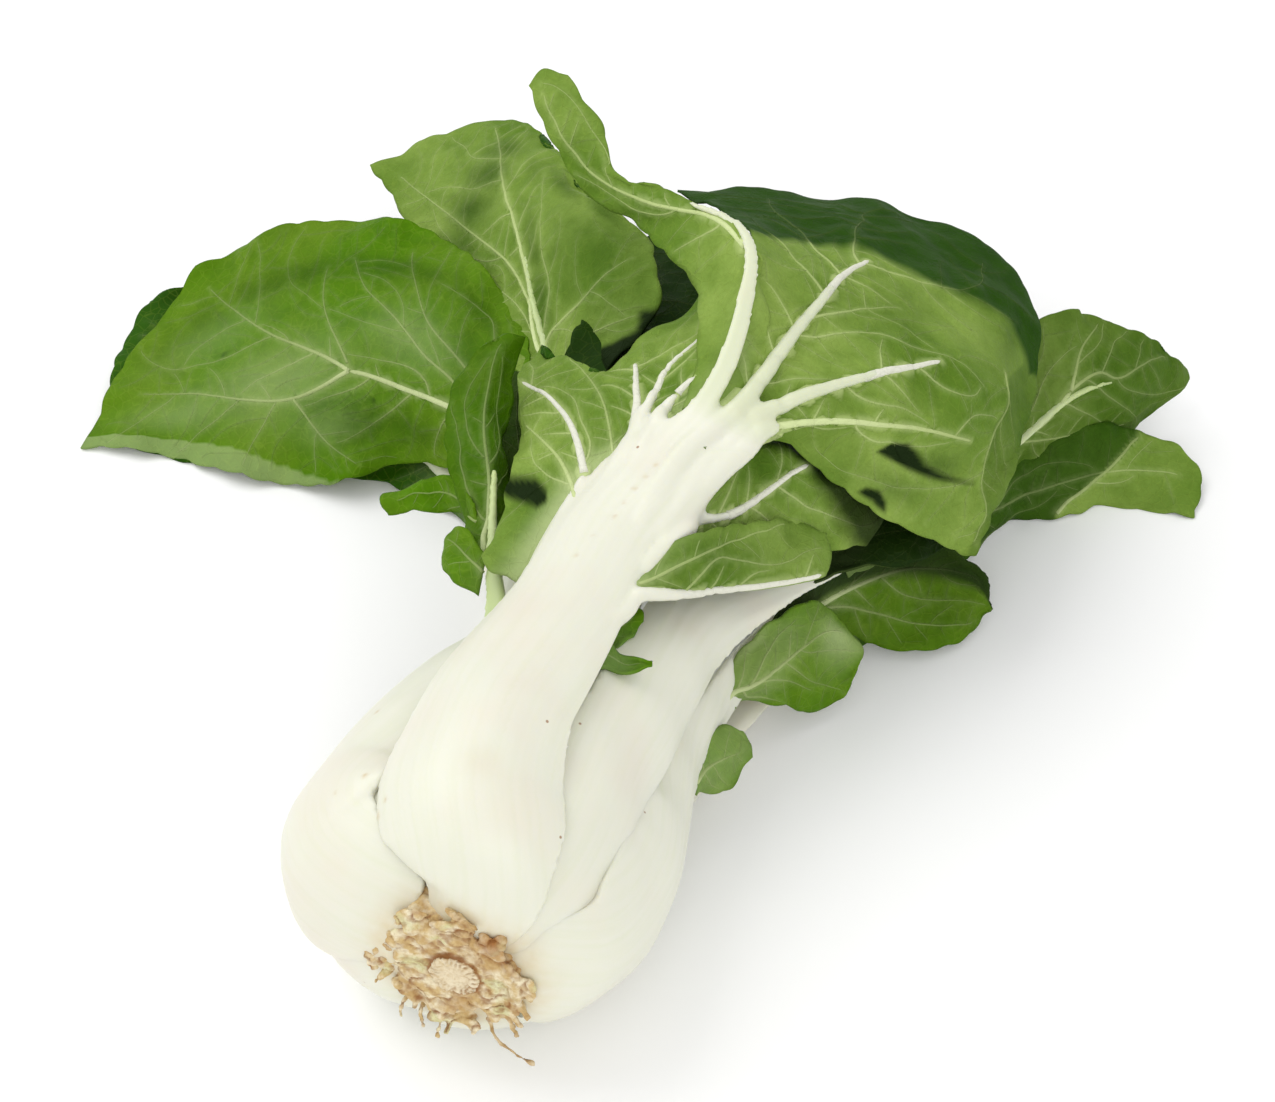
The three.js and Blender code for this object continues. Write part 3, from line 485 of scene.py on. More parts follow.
LEFT_UPPER = {
    "stalk": rooted(140, 0.8, 30, 9, 20, [
        (-26, 4, 58, 136, 27, 9, 20),
        (-19, 30, 54, 132, 21, 8, 18),
        (-15, 56, 53, 125, 17, 7, 18),
        (-17, 84, 51, 118, 12, 6, 12),
        (-27, 114, 49, 110, 8, 5, 8),
        (-42, 141, 49.5, 102, 3.8, 3.6, 5),
        (-56, 164, 53, 96, 2.4, 2.4, 5),
        (-64, 180, 56, 92, 1.8, 2, 5),
    ]),
    "faces": ("leaf_underside", "dark_leaf"),
    "blade": (
        {
            "rails": (
                ((-37, 128, 44), (-58, 150, 42), (-90, 184, 37), (-116, 214, 31), (-132, 233, 29)),
                ((-36, 130, 46), (-54, 158, 45), (-78, 188, 45), (-99, 215, 42), (-117, 243, 37)),
                (
                    (-35, 131, 48), (-49, 152, 49), (-60, 173, 54), (-72, 196, 57), (-84, 222, 54),
                    (-96, 245, 46),
                ),
                (
                    (-33, 130, 51), (-34, 148, 60), (-42, 166, 68), (-54, 184, 69), (-68, 208, 63),
                    (-86, 241, 51),
                ),
                (
                    (-31, 128, 53), (-22, 138, 65), (-17, 152, 75), (-26, 172, 77), (-44, 188, 72),
                    (-58, 206, 64), (-76, 230, 55),
                ),
            ),
            "veins": (
                (2.6, 0.6, (0.02, 2), (0.21, 1.8), (0.35, 1.95), (0.48, 1.9), (0.66, 1.82), (0.95, 1.9)),
                (1.6, 0.5, (0.12, 1.9), (0.2, 2.2), (0.24, 2.9), (0.34, 3.7)),
                (1.4, 0.5, (0.06, 2.1), (0.14, 2.6), (0.17, 3.25), (0.22, 3.8)),
                (1.4, 0.5, (0.3, 1.9), (0.42, 1.5), (0.57, 1), (0.78, 0.58), (0.92, 0.3)),
                (1.2, 0.5, (0.12, 1.85), (0.3, 1.2), (0.5, 0.5)),
            ),
            # A torn notch painted near-black, the shadow seen through it
            "tears": (
                ((0.02, 3.3), (0.12, 3.2), (0.15, 3.66), (0.19, 3.9), (0.23, 3.8), (0.25, 4.2), (0, 4.2)),
            ),
            # Painted shade along its fold and over its curled half
            "patches": (
                (0.82, 1.95, 9, 7, 0.6), (0.74, 1.6, 9, 7, 0.75), (0.67, 1.1, 9, 8, 0.75),
                (0.6, 0.6, 9, 8, 0.5), (0.36, 3.2, 24, 16, 0.35), (0.2, 3.6, 16, 12, 0.35),
                (0.3, 2.16, 14, 4, 0.6), (0.45, 2.2, 14, 4, 0.55), (0.62, 3.3, 12, 5, 0.55),
                (0.52, 3.7, 12, 4, 0.6), (0.7, 2.7, 12, 6, 0.3),
            ),
        },
    ),
}

BOTTOM_LEFT = {
    "stalk": rooted(227, 1, 46, 11, 34, [
        (-33, -6, 7, 230, 44, 11, 34),
        (-28, 18, 5, 238, 38, 10, 34),
        (-24, 44, 4, 252, 28, 9, 30),
        (-30, 72, 5, 256, 19, 7, 22),
        (-42, 100, 5, 262, 12, 6, 14),
        (-64, 130, 6, 268, 7, 4.4, 8),
        (-96, 149, 8, 270, 4, 3.4, 6),
        (-130, 159, 8, 270, 2.6, 2.6, 6),
        (-158, 157, 6.5, 270, 1.6, 1.8, 6),
    ]),
    "faces": ("dark_leaf", "leaf_underside"),
    "blade": (
        {
            "rails": (
                (
                    (-44, 100, 4), (-62, 124, 3), (-92, 134, 1.2), (-124, 130, 0.4), (-150, 126, 0.4),
                    (-172, 127, 0.6),
                ),
                (
                    (-43, 103, 5), (-66, 132, 8), (-98, 150, 10), (-130, 158, 10), (-158, 153, 8),
                    (-180, 146, 5),
                ),
                (
                    (-42, 107, 6), (-60, 140, 11), (-84, 168, 14), (-116, 189, 15), (-152, 196, 14),
                    (-182, 178, 9),
                ),
            ),
            "veins": ((3, 0.6, (0, 1), (0.5, 1), (0.95, 1.05)),),
        },
    ),
}

BOTTOM_RIGHT = {
    "stalk": rooted(281, 0.97, 46, 11, 34, [
        (3, -6, -1, 281, 46, 11, 34),
        (7, 18, 0.6, 282, 38, 10, 34),
        (17, 44, 4, 286, 28, 9, 30),
        (26, 72, 5, 284, 19, 7, 22),
        (38, 102, 6, 278, 12, 6, 14),
        (52, 128, 7.4, 274, 4, 3.4, 6),
    ]),
    "faces": ("leaf_underside", "dark_leaf"),
    "blade": (
        {
            "rails": (
                ((46, 110, 12), (58, 146, 20), (76, 177, 19), (93, 202, 17), (111, 212, 10), (122, 212, 5)),
                ((50, 111, 10), (62, 146, 12), (80, 174, 11), (99, 193, 9), (114, 203, 5), (126, 204, 3)),
                ((54, 110, 8), (64, 142, 4), (76, 167, 2), (91, 183, 0.6), (108, 190, 0.4), (127, 193, 0.4)),
            ),
            "veins": (
                (1.8, 0.6, (0, 1), (0.5, 1), (0.95, 1)),
                (1.5, 0.9, (0.67, 1.85), (0.7, 1.5), (0.78, 0.96), (0.82, 0.64), (0.87, 0.15)),
            ),
            # Painted shade on the face before its fold
            "zones": (
                ("shade", -0.85, 1.6, (0.15, 0.87), (0.64, 0.82), (0.96, 0.78), (1.5, 0.7), (1.85, 0.67)),
            ),
        },
    ),
}

INNER_BACK = {
    "stalk": rooted(90, 0.42, 18, 8, 16, [
        (2, 10, 57, 90, 18, 8, 16),
        (3, 50, 59, 90, 15, 7, 14),
        (4, 90, 66, 90, 10, 5, 10),
        (0, 130, 68, 90, 5, 4, 6),
        (-6, 165, 66, 90, 2, 2, 5),
    ]),
    "faces": ("dark_leaf", "leaf_underside"),
    "blade": (
        {
            "rails": (
                ((-6, 92, 66), (-32, 120, 64), (-38, 146, 60), (-38, 188, 56), (-26, 208, 56)),
                ((4, 92, 66), (2, 124, 65), (-2, 158, 62), (-6, 192, 58), (-12, 210, 54)),
                ((12, 92, 65), (26, 122, 68), (34, 156, 66), (30, 190, 58), (12, 208, 52)),
            ),
            "veins": ((1.2, 0.6, (0, 1), (0.5, 1), (0.95, 1.05)),),
            # Painted shadow all over: this leaf lies in the dark space under the others
            "deep": 0.6,
        },
    ),
}

INNER_LEFT = {
    "stalk": rooted(112, 0.62, 9, 5, 10, [
        (-15, -8, 66, 116, 9, 5, 10),
        (-17, 12, 68, 120, 8, 4.4, 8),
        (-20, 34, 70, 122, 7, 4.4, 7),
        (-25, 48, 70.5, 118, 5, 4, 6),
        (-30, 61, 71, 110, 3, 2.6, 5),
        (-35, 77, 75.5, 105, 1.8, 2, 5),
    ]),
    "fresh": 0.85,
    "faces": ("bright_leaf", "leaf_underside"),
    "blade": (
        {
            "rails": (
                ((-33, 56, 67), (-42, 70, 69), (-50, 84, 76), (-53, 95, 82), (-50, 104, 86), (-44, 111, 88)),
                ((-30, 56, 67), (-34, 71, 72), (-40, 86, 78), (-44, 98, 82), (-44, 105, 86), (-42, 112, 88)),
                ((-28, 56, 66), (-29, 73, 67), (-35, 89, 69), (-40, 102, 74), (-41, 109, 82), (-40, 114, 87)),
            ),
            "veins": ((2, 0.5, (0, 1), (0.33, 0.97), (0.55, 0.9), (0.78, 0.97), (0.95, 0.75)),),
            # Painted shade all over
            "dark": 0.4,
        },
        {
            "rails": (
                ((-34, 62, 66), (-44, 73, 61), (-54, 75, 58), (-63, 74, 54)),
                ((-34, 65, 68), (-46, 76, 64), (-56, 77, 61), (-65, 75, 56)),
                ((-36, 68, 72), (-47, 79, 67), (-57, 79, 62), (-65, 77, 57)),
            ),
            "veins": ((1.2, 0.4, (0, 1), (0.9, 1)),),
        },
        # A sheet painted as shadow all over, filling the dark space beside the narrow blade
        {
            "rails": (
                ((-33, 68, 66), (-38, 86, 66), (-44, 104, 67), (-50, 120, 68)),
                ((-21, 76, 66), (-27, 90, 66), (-34, 106, 67), (-40, 122, 68)),
            ),
            "veins": ((1, 0.4, (0, 0.5), (0.9, 0.5)),),
            "deep": 0.75,
        },
    ),
    "lobes": (
        {
            "rails": (
                ((-26, 41, 68), (-33, 43, 69), (-39, 49, 68), (-41, 55, 66)),
                ((-27, 47, 69.5), (-33, 51, 70), (-38, 55, 69), (-41, 58, 67)),
                ((-28, 52, 70), (-32, 56, 71), (-36, 59, 70), (-40, 61, 67)),
            ),
            "veins": ((1.2, 0.4, (0, 1), (0.9, 1)),),
        },
    ),
}

HEART = {
    "stalk": rooted(66, 0.68, 18, 6, 14, [
        (6, -2, 66, 68, 18, 6, 13),
        (9, 12, 67, 70, 16, 5, 12),
        (11, 24, 67, 74, 12, 4, 10),
        (12, 36, 66, 80, 6, 3, 6),
    ]),
    "faces": ("bright_leaf", "leaf_underside"),
    "blade": (
        {
            "rails": (
                ((3, 24, 69), (4, 34, 69), (7, 42, 69.5), (12, 49, 70)),
                ((6, 24, 70), (8, 34, 69.5), (11, 41, 70), (14, 47, 70)),
                ((9, 24, 70.5), (12, 34, 69), (14, 40, 68.5), (15, 44, 69)),
            ),
            "veins": ((1, 0.3, (0, 1), (0.9, 1)),),
        },
        {
            "rails": (
                ((5, 28, 71.5), (10, 31, 74), (16, 28, 74.5), (22, 28, 74)),
                ((6, 25, 72), (11, 27, 73.5), (17, 27, 73.5), (22, 27.5, 74)),
                ((7, 22, 72), (13, 23, 73.5), (18, 25, 73.5), (22, 27, 74)),
            ),
            "veins": ((1, 0.3, (0, 1), (0.9, 1)),),
        },
    ),
}

# The leaves in their order at the root plate.
LEAVES = {
    "left_outer": LEFT_OUTER,
    "right_outer": RIGHT_OUTER,
    "bottom_left": BOTTOM_LEFT,
    "bottom_right": BOTTOM_RIGHT,
    "front": FRONT,
    "right_upper": RIGHT_UPPER,
    "left_upper": LEFT_UPPER,
    "inner_left": INNER_LEFT,
    "inner_back": INNER_BACK,
    "heart": HEART,
}

# The rounds of scars on the root plate: how many, how far out as a share of its radius, and their size.
SCAR_ROUNDS = ((15, 0.9, 4.2), (13, 0.74, 4.4), (9, 0.56, 4))

# Rootlets: the points that each runs through.
ROOTLETS = (
    ((-11, -40, 27), (-14, -46, 22), (-15, -47, 17)),
    ((-8, -40, 25), (-10, -46, 20), (-9, -47, 15)),
    ((-4, -40, 24), (-5, -46, 18), (-6, -47, 13)),
    ((5, -40, 24), (8, -46, 19), (14, -48, 16), (19, -49, 15)),
)

# Each round of side veins: the way between two on one side of a vein, their width at the root and
# at the end, their longest reach, the angle at which they leave and how much that varies.
SIDE_VEINS = (
    (15, 1.1, 0.45, 60, 50, 6),
    (9, 0.55, 0.3, 20, 65, 12),
)


def hex_colour(code):
    """A linear colour from an sRGB hex value."""
    parts = [int(code[i : i + 2], 16) / 255 for i in (0, 2, 4)]
    return tuple(c / 12.92 if c <= 0.04045 else ((c + 0.055) / 1.055) ** 2.4 for c in parts)


def length_property(name, description, default, highest):
    """A length in metres, given in millimetres."""
    return bpy.props.FloatProperty(
        name=name, description=description, default=default * MM, min=0, max=highest * MM, unit="LENGTH"
    )


def colour_property(name, description, code):
    """A colour from its sRGB hex value."""
    return bpy.props.FloatVectorProperty(
        name=name, description=description, default=hex_colour(code), min=0, max=1, size=3, subtype="COLOR"
    )


class BladeSizes(bpy.types.PropertyGroup):
    """Sizes of the leaf blades."""

    thickness: length_property("Thickness", "Of a leaf blade", 0.7, 3)
    step: length_property("Step", "Between the points of a blade's grid", 1, 5)
    ripple: length_property("Ripple", "Height of the long waves of a free margin", 1.6, 8)
    ripple_length: length_property("Ripple length", "Of one long wave", 36, 100)
    ruffle: length_property("Ruffle", "Height of the short waves of a free margin", 0.8, 4)
    scallop: length_property("Scallop", "How far the margin's small rounds stand out", 0.7, 3)
    crumple: length_property("Crumple", "Height of the soft folds all over a blade", 0.6, 4)
    quilting: length_property("Quilting", "How far a blade swells between its veins", 0.7, 3)


class StalkSizes(bpy.types.PropertyGroup):
    """Sizes of the stalks."""

    edge: length_property("Edge", "Thickness at a stalk's two edges", 1.2, 5)
    voxel: length_property("Voxel", "Grid that joins a stalk to its veins", 0.8, 3)
    rib: length_property("Rib", "Height of the fine lengthwise ribs", 0.09, 2)
    rib_width: length_property("Rib width", "From one rib to the next", 3.4, 20)
    swell: length_property("Swell", "Height of the broad soft lumps", 0.5, 4)


class RootSizes(bpy.types.PropertyGroup):
    """Sizes of the root plate."""

    radius: length_property("Radius", "Of the plate that the stalks grow from", 20, 60)
    depth: length_property("Depth", "Of the plate", 11, 40)
    cut_radius: length_property("Cut radius", "Of the cut root in the middle", 6, 20)
    rootlet_radius: length_property("Rootlet radius", "Where a rootlet leaves the plate", 1.1, 4)


class HeadColours(bpy.types.PropertyGroup):
    """Colours of the head."""

    stalk: colour_property("Stalk", "Waxy white of the stalks", "DFDFCF")
    stalk_green: colour_property("Stalk green", "Green tint of the stalks' upper ends", "CDD8A4")
    underside: colour_property("Underside", "Matt green of a leaf's underside", "86A04A")
    bright: colour_property("Bright", "Fresh green of an upper side", "4E7A00")
    # Also the colour of the painted shade on every leaf
    dark: colour_property("Dark", "Deep green of an upper side", "254900")
    vein: colour_property("Vein", "Pale green of the veins", "CBD896")
    root: colour_property("Root", "Tan of the dry root plate", "D2BE92")
    scar: colour_property("Scar", "Brown of the old scars", "8E5A24")


def spline(points, u):
    """A smooth line through points, at places u that count along them."""
    points = np.asarray(points, float)
    ends = np.vstack([2 * points[0] - points[1], points, 2 * points[-1] - points[-2]])
    u = np.asarray(u, float)
    i = np.clip(np.floor(u).astype(int), 0, len(points) - 2)
    w = (u - i)[..., None]
    before, here, there, after = ends[i], ends[i + 1], ends[i + 2], ends[i + 3]
    leave, arrive = (there - before) / 2, (after - here) / 2
    return (
        here
        + leave * w
        + (3 * (there - here) - 2 * leave - arrive) * w**2
        + (2 * (here - there) + leave + arrive) * w**3
    )


def run_along(points):
    """How far along a line each of its points is."""
    return np.concatenate([[0], np.cumsum(np.linalg.norm(np.diff(points, axis=0), axis=1))])


def spaced(points, shares):
    """Places at shares of the length of the smooth line through points."""
    u = np.linspace(0, len(points) - 1, 201)
    run = run_along(spline(points, u))
    return spline(points, np.interp(np.asarray(shares) * run[-1], run, u))


def unit(v):
    """Vectors of length 1."""
    return v / np.maximum(np.linalg.norm(v, axis=-1, keepdims=True), 1e-9)


def waves(points, period, seed, count=9):
    """Soft noise, mostly between -1 and 1, about one period across."""
    rng = np.random.default_rng(seed)
    total = np.zeros(points.shape[:-1])
    for _ in range(count):
        way = unit(rng.normal(size=3))
        total += np.sin(points @ way * (2 * math.pi / (period * rng.uniform(0.7, 1.5))) + rng.uniform(0, 6.3))
    return total / math.sqrt(count)


def near(distance, width):
    """1 at no distance, falling softly to 0 over width."""
    return np.exp(-((distance / width) ** 2))


class Surface:
    """The grid that a sheet's rails span: rows run along the rails, columns across them."""

    def __init__(self, sheet, sizes):
        rails = sheet["rails"]
        step = sizes.step / MM
        self.last = len(rails) - 1
        middle = spaced(rails[self.last // 2], np.linspace(0, 1, 60))
        self.length = run_along(middle)[-1]
        across = spline([spaced(rail, [0.62])[0] for rail in rails], np.linspace(0, self.last, 60))
        under = sheet.get("under", 0)
        self.rows = max(8, round((self.length + under) / step)) + 1
        self.width = run_along(across)[-1]
        self.columns = max(8, round(self.width / step)) + 1
        self.start = -under / self.length
        self.t = np.linspace(self.start, 1, self.rows)
        self.s = np.linspace(0, self.last, self.columns)
        lines = np.stack([spaced(rail, np.maximum(self.t, 0)) for rail in rails])
        for line, rail in zip(lines, rails):
            way = unit(np.subtract(rail[1], rail[0]))
            line += np.minimum(self.t, 0)[:, None] * self.length * way
        flat = spline(lines.reshape(len(rails), -1), self.s)
        self.points = flat.reshape(self.columns, self.rows, 3).transpose(1, 0, 2)
        self.turned = sheet.get("turned", False)
        self.light_side = 1 if self.turned else -1
        self.free = sheet.get("free", ("low", "high", "far"))
        self.lift(sheet.get("ripple", 1) * self.ripple(sheet.get("fan", False), sizes))

    def ripple(self, fan, sizes):
        """The long waves of the free margin."""
        t, s = self.t[:, None], self.s[None, :]
        width = run_along(self.points[round(0.9 * (self.rows - 1))])[-1]
        t = np.maximum(t, 0)
        free = t**6 + 0 * s if fan else np.abs(2 * s / self.last - 1) ** 4 * np.sin(math.pi * t)
        run = s / self.last * width + 0 * t if fan else t * self.length + 0 * s
        wave = np.sin(2 * math.pi * run * MM / sizes.ripple_length + s)
        return (sizes.ripple / MM) * free * wave

    def lift(self, height):
        """Moves the points along their normals, away from the face that catches the light if below 0."""
        self.points = self.points + self.normals() * height[..., None]

    def normals(self):
        """The way that the rails' own side of the surface faces."""
        down = np.gradient(self.points, axis=0)
        over = np.gradient(self.points, axis=1)
        return unit(np.cross(down, over))

    def margins(self):
        """Each point's distance to each free margin, and its run along that margin."""
        across = np.linalg.norm(np.diff(self.points, axis=1), axis=2)
        along = np.linalg.norm(np.diff(self.points, axis=0), axis=2)
        from_low = np.concatenate([np.zeros((self.rows, 1)), np.cumsum(across, axis=1)], axis=1)
        from_root = np.concatenate([np.zeros((1, self.columns)), np.cumsum(along, axis=0)], axis=0)
        found = {
            "low": (from_low, from_root, -1, 1),
            "high": (from_low[:, -1:] - from_low, from_root + 500, 1, 1),
            "far": (from_root[-1:] - from_root, from_low + 1000, 1, 0),
        }
        return [found[name] for name in self.free]

    def trim(self, sizes, seed):
        """Gives the free margins their small rounds and short waves."""
        ways = [unit(np.gradient(self.points, axis=0)), unit(np.gradient(self.points, axis=1))]
        normals = self.normals()
        moved = np.zeros_like(self.points)
        for number, (distance, run, sign, axis) in enumerate(self.margins()):
            line = np.stack([run, 0 * run, 0 * run], axis=-1)
            rounds = np.abs(np.sin(math.pi * (run / 9 + 0.35 * waves(line, 40, seed + number, 4)))) - 0.6
            rounds += 0.6 * waves(line, 26, seed + 5 + number, 4)
            outwards = sizes.scallop / MM * rounds * near(distance, 5)
            short = waves(line, 15, seed + 10 + number, 5) * near(distance, 9)
            moved += ways[axis] * (sign * outwards)[..., None]
            moved += normals * (sizes.ruffle / MM * short)[..., None]
        self.points = self.points + moved

    def at(self, grid, places):
        """Values of a grid at (t, s) places, between its points."""
        u = np.clip((places[..., 0] - self.start) / (1 - self.start), 0, 1) * (self.rows - 1)
        v = np.clip(places[..., 1] / self.last, 0, 1) * (self.columns - 1)
        i = np.minimum(u.astype(int), self.rows - 2)
        j = np.minimum(v.astype(int), self.columns - 2)
        a, b = (u - i)[..., None], (v - j)[..., None]
        top = grid[i, j] * (1 - b) + grid[i, j + 1] * b
        low = grid[i + 1, j] * (1 - b) + grid[i + 1, j + 1] * b
        return top * (1 - a) + low * a


class Vein:
    """A vein on a surface: its (t, s) places, their points in space and its width along them."""

    def __init__(self, surface, places, wide, narrow, level):
        self.places = np.asarray(places, float)
        self.points = surface.at(surface.points, self.places)
        self.level = level
        self.crest_from = math.inf
        self.white = 0
        share = run_along(self.points)
        share = share / max(share[-1], 1e-6)
        self.width = wide + (narrow - wide) * share**0.7


def main_vein(surface, given):
    """A vein through given places."""
    wide, narrow, *places = given
    rough = spline(places, np.linspace(0, len(places) - 1, 12 * len(places)))
    run = run_along(surface.at(surface.points, rough))
    even = np.linspace(0, run[-1], max(4, round(run[-1] / VEIN_STEP)))
    places = np.stack([np.interp(even, run, rough[:, k]) for k in (0, 1)], axis=-1)
    return Vein(surface, places, wide, narrow, 0)


def trace(surface, slopes, start, heading, bend, reach, taken, rng):
    """The places of a side vein, from its start until it meets another vein, a margin or its reach."""
    places = [np.array(start, float)]
    here = surface.at(surface.points, places[0])
    way = heading
    run, swing = 0, 0.0
    while run < reach:
        down, over, normal = (surface.at(slope, places[-1]) for slope in slopes)
        way = unit(way - normal * (way @ normal))
        swing = 0.6 * swing + rng.normal() * 0.055
        turn = bend * VEIN_STEP + swing
        way = way * math.cos(turn) + np.cross(normal, way) * math.sin(turn)
        a, b, c = down @ down, down @ over, over @ over
        p, q = way @ down * VEIN_STEP, way @ over * VEIN_STEP
        fixed = a * c - b * b
        if fixed < 1e-9:
            break
        place = places[-1] + np.array([(p * c - q * b) / fixed, (q * a - p * b) / fixed])
        if not (0.01 < place[0] < 0.985 and 0.02 < place[1] / surface.last < 0.98):
            break
        here = surface.at(surface.points, place)
        places.append(place)
        run += VEIN_STEP
        if run > 4 and np.min(np.sum((taken - here) ** 2, axis=1)) < 1.3**2:
            break
    return places


def side_veins(surface, veins, seed):
    """The veins that branch off the given ones, round by round."""
    rng = np.random.default_rng(seed)
    slopes = (
        np.gradient(surface.points, axis=0) * (surface.rows - 1) / (1 - surface.start),
        np.gradient(surface.points, axis=1) * (surface.columns - 1) / surface.last,
        surface.normals(),
    )
    small = min(1, max(0.45, surface.length / 100))
    found = list(veins)
    for level, (spacing, wide, narrow, reach, angle, spread) in enumerate(SIDE_VEINS, 1):
        spacing = spacing * small
        for parent in list(found):
            if len(parent.points) < 6:
                continue
            run = run_along(parent.points)
            for side in (-1, 1):
                place = spacing * rng.uniform(0.3, 0.9)
                while place < run[-1] - 2:
                    i = min(int(np.searchsorted(run, place)), len(run) - 2)
                    place += spacing * rng.uniform(0.75, 1.25)
                    start = parent.places[i]
                    along = unit(parent.points[i + 1] - parent.points[i - 1])
                    normal = surface.at(slopes[2], start)
                    turn = side * math.radians(angle + spread * rng.normal())
                    heading = along * math.cos(turn) + np.cross(normal, along) * math.sin(turn)
                    ahead = parent.points[i] + heading * 3.4
                    taken = np.vstack([vein.points for vein in found])
                    if np.min(np.sum((taken - ahead) ** 2, axis=1)) < 2.1**2:
                        continue
                    places = trace(surface, slopes, start, heading, -side * 0.012, reach, taken, rng)
                    if len(places) > 3:
                        first = min(wide, 0.7 * parent.width[i])
                        found.append(Vein(surface, places, first, min(narrow, first), level))
    return found


def new_object(name, vertices, faces):
    """A mesh object from vertices in millimetres, with smooth faces."""
    mesh = bpy.data.meshes.new(name)
    mesh.from_pydata((np.asarray(vertices) * MM).tolist(), [], faces)
    mesh.update()
    made = bpy.data.objects.new(name, mesh)
    bpy.context.scene.collection.objects.link(made)
    mesh.shade_smooth()
    return made


def take_up(*objects):
    """Selects these objects alone; the last one is active."""
    bpy.ops.object.select_all(action="DESELECT")
    for each in objects:
        each.select_set(True)
    bpy.context.view_layer.objects.active = objects[-1]


def join(parts, name):
    """One object of several."""
    take_up(*reversed(parts))
    bpy.ops.object.join()
    made = bpy.context.object
    made.name = made.data.name = name
    return made


def modify(made, kind, **settings):
    """Adds a modifier and applies it."""
    modifier = made.modifiers.new(kind.title(), kind)
    for key, value in settings.items():
        setattr(modifier, key, value)
    take_up(made)
    bpy.ops.object.modifier_apply(modifier=modifier.name)


def places_of(made):
    """The vertices' places, in millimetres."""
    flat = np.empty(len(made.data.vertices) * 3)
    made.data.vertices.foreach_get("co", flat)
    return flat.reshape(-1, 3) / MM


def normals_of(made):
    """The vertices' normals."""
    flat = np.empty(len(made.data.vertices) * 3)
    made.data.vertex_normals.foreach_get("vector", flat)
    return flat.reshape(-1, 3)


def set_places(made, places):
    """Puts the vertices at places in millimetres."""
    made.data.vertices.foreach_set("co", (places * MM).ravel())
    made.data.update()


def paint(made, name, values):
    """Keeps one number for each vertex, for the materials to read."""
    layer = made.data.attributes.get(name) or made.data.attributes.new(name, "FLOAT", "POINT")
    layer.data.foreach_set("value", np.asarray(values, np.float32).ravel())


def tree_of(points):
    """A search tree over points."""
    tree = KDTree(len(points))
    for i, point in enumerate(points):
        tree.insert(point, i)
    tree.balance()
    return tree


def nearest(points, targets):
    """For each point, the number of the nearest target and its distance."""
    tree = tree_of(targets)
    found = [tree.find(point)[1:] for point in points]
    return np.array([f[0] for f in found]), np.array([f[1] for f in found])


def grid_faces(rows, columns, closed=False):
    """Four-sided faces of a grid of rows and columns; closed joins the last column to the first."""
    faces = []
    for i in range(rows - 1):
        for j in range(columns if closed else columns - 1):
            a, b = i * columns + j, i * columns + (j + 1) % columns
            faces.append((a, b, b + columns, a + columns))
    return faces


def rod(points, outs, half_width, top, bottom, sides):
    """A closed oval rod along points: half_width to each side, top above them and bottom below."""
    along = unit(np.gradient(points, axis=0))
    outs = unit(outs - along * np.sum(outs * along, axis=1, keepdims=True))
    side = np.cross(along, outs)
    vertices = []
    for k in range(sides):
        turn = 2 * math.pi * k / sides
        rise = np.where(math.sin(turn) > 0, top, bottom) * math.sin(turn)
        vertices.append(points + side * (half_width * math.cos(turn))[:, None] + outs * rise[:, None])
    vertices = np.stack(vertices, axis=1).reshape(-1, 3)
    faces = grid_faces(len(points), sides, closed=True)
    last = (len(points) - 1) * sides
    faces.append(tuple(reversed(range(sides))))
    faces.append(tuple(range(last, last + sides)))
    return vertices, faces


def vein_rods(surface, veins, sizes):
    """The crests of the veins: (vertices, faces, vein strength, whiteness, (t, s) places) of them all."""
    normals = surface.normals() * surface.light_side
    half = sizes.thickness / MM / 2
    vertices, faces, strength, white, places = [], [], [], [], []
    count = 0
    for vein in veins:
        seen = vein.width < vein.crest_from
        if seen.sum() < 3:
            continue
        points = surface.at(surface.points, vein.places[seen])
        outs = surface.at(normals, vein.places[seen])
        sides = (8, 5, 4)[vein.level]
        width = vein.width[seen] * (0.9, 0.85, 0.8)[vein.level]
        top = half + 0.08 + 0.28 * width
        bottom = np.full(len(width), half + 0.05)
        tip = np.ones(len(points))
        tip[-1] = 0.4
        made, ring_faces = rod(points, outs, width / 2 * tip, top * tip, bottom * tip, sides)
        vertices.append(made)
        faces += [tuple(count + i for i in face) for face in ring_faces]
        count += len(made)
        shade = np.clip(0.08 + 0.44 * vein.width[seen], 0, 0.95)
        strength.append(np.repeat(shade, sides))
        white.append(np.repeat(vein.white * np.clip(vein.width[seen] - 0.4, 0, 1), sides))
        places.append(np.repeat(vein.places[seen], sides, axis=0))
    return np.vstack(vertices), faces, *(np.concatenate(values) for values in (strength, white, places))


def relief(surface, sheet, veins, rib, sizes, seed):
    """Raises the surface's veins and crumples it; gives how strong its veins and how pale its root are drawn.

    rib holds points along the leaf's own stalk and their half widths.
    """
    shape = surface.rows, surface.columns
    flat = surface.points.reshape(-1, 3)
    number, distance = nearest(flat, np.vstack([vein.points for vein in veins]))
    width = np.concatenate([vein.width for vein in veins])[number]
    ridge = 0.3 * width * near(distance, 0.8 * width + 0.7) - sizes.quilting / MM * (1 - near(distance, 3.5))
    glow = near(distance, 0.6 * width + 0.4) * np.clip(0.3 * width, 0, 0.7)

    rib_points, rib_widths = rib
    number, distance = nearest(flat, rib_points)
    beyond = np.maximum(distance - rib_widths[number], 0)
    rib_width = np.minimum(rib_widths[number], 4)
    pale = near(beyond, 2 + 0.5 * rib_width) * np.clip(0.2 * rib_width - 0.35, 0, 0.9)
    if surface.turned or not sheet.get("fan", False):
        pale = 0.3 * pale
    loose = 1 - near(beyond, 12)
    crumple = sizes.crumple / MM * (waves(flat, 26, seed) + 0.35 * waves(flat, 9, seed + 1)) * loose
    surface.lift((surface.light_side * (ridge + crumple)).reshape(shape))
    surface.points[..., 2] = np.maximum(surface.points[..., 2], sizes.thickness / MM / 2 + CLEAR)
    return glow.reshape(shape), pale.reshape(shape)


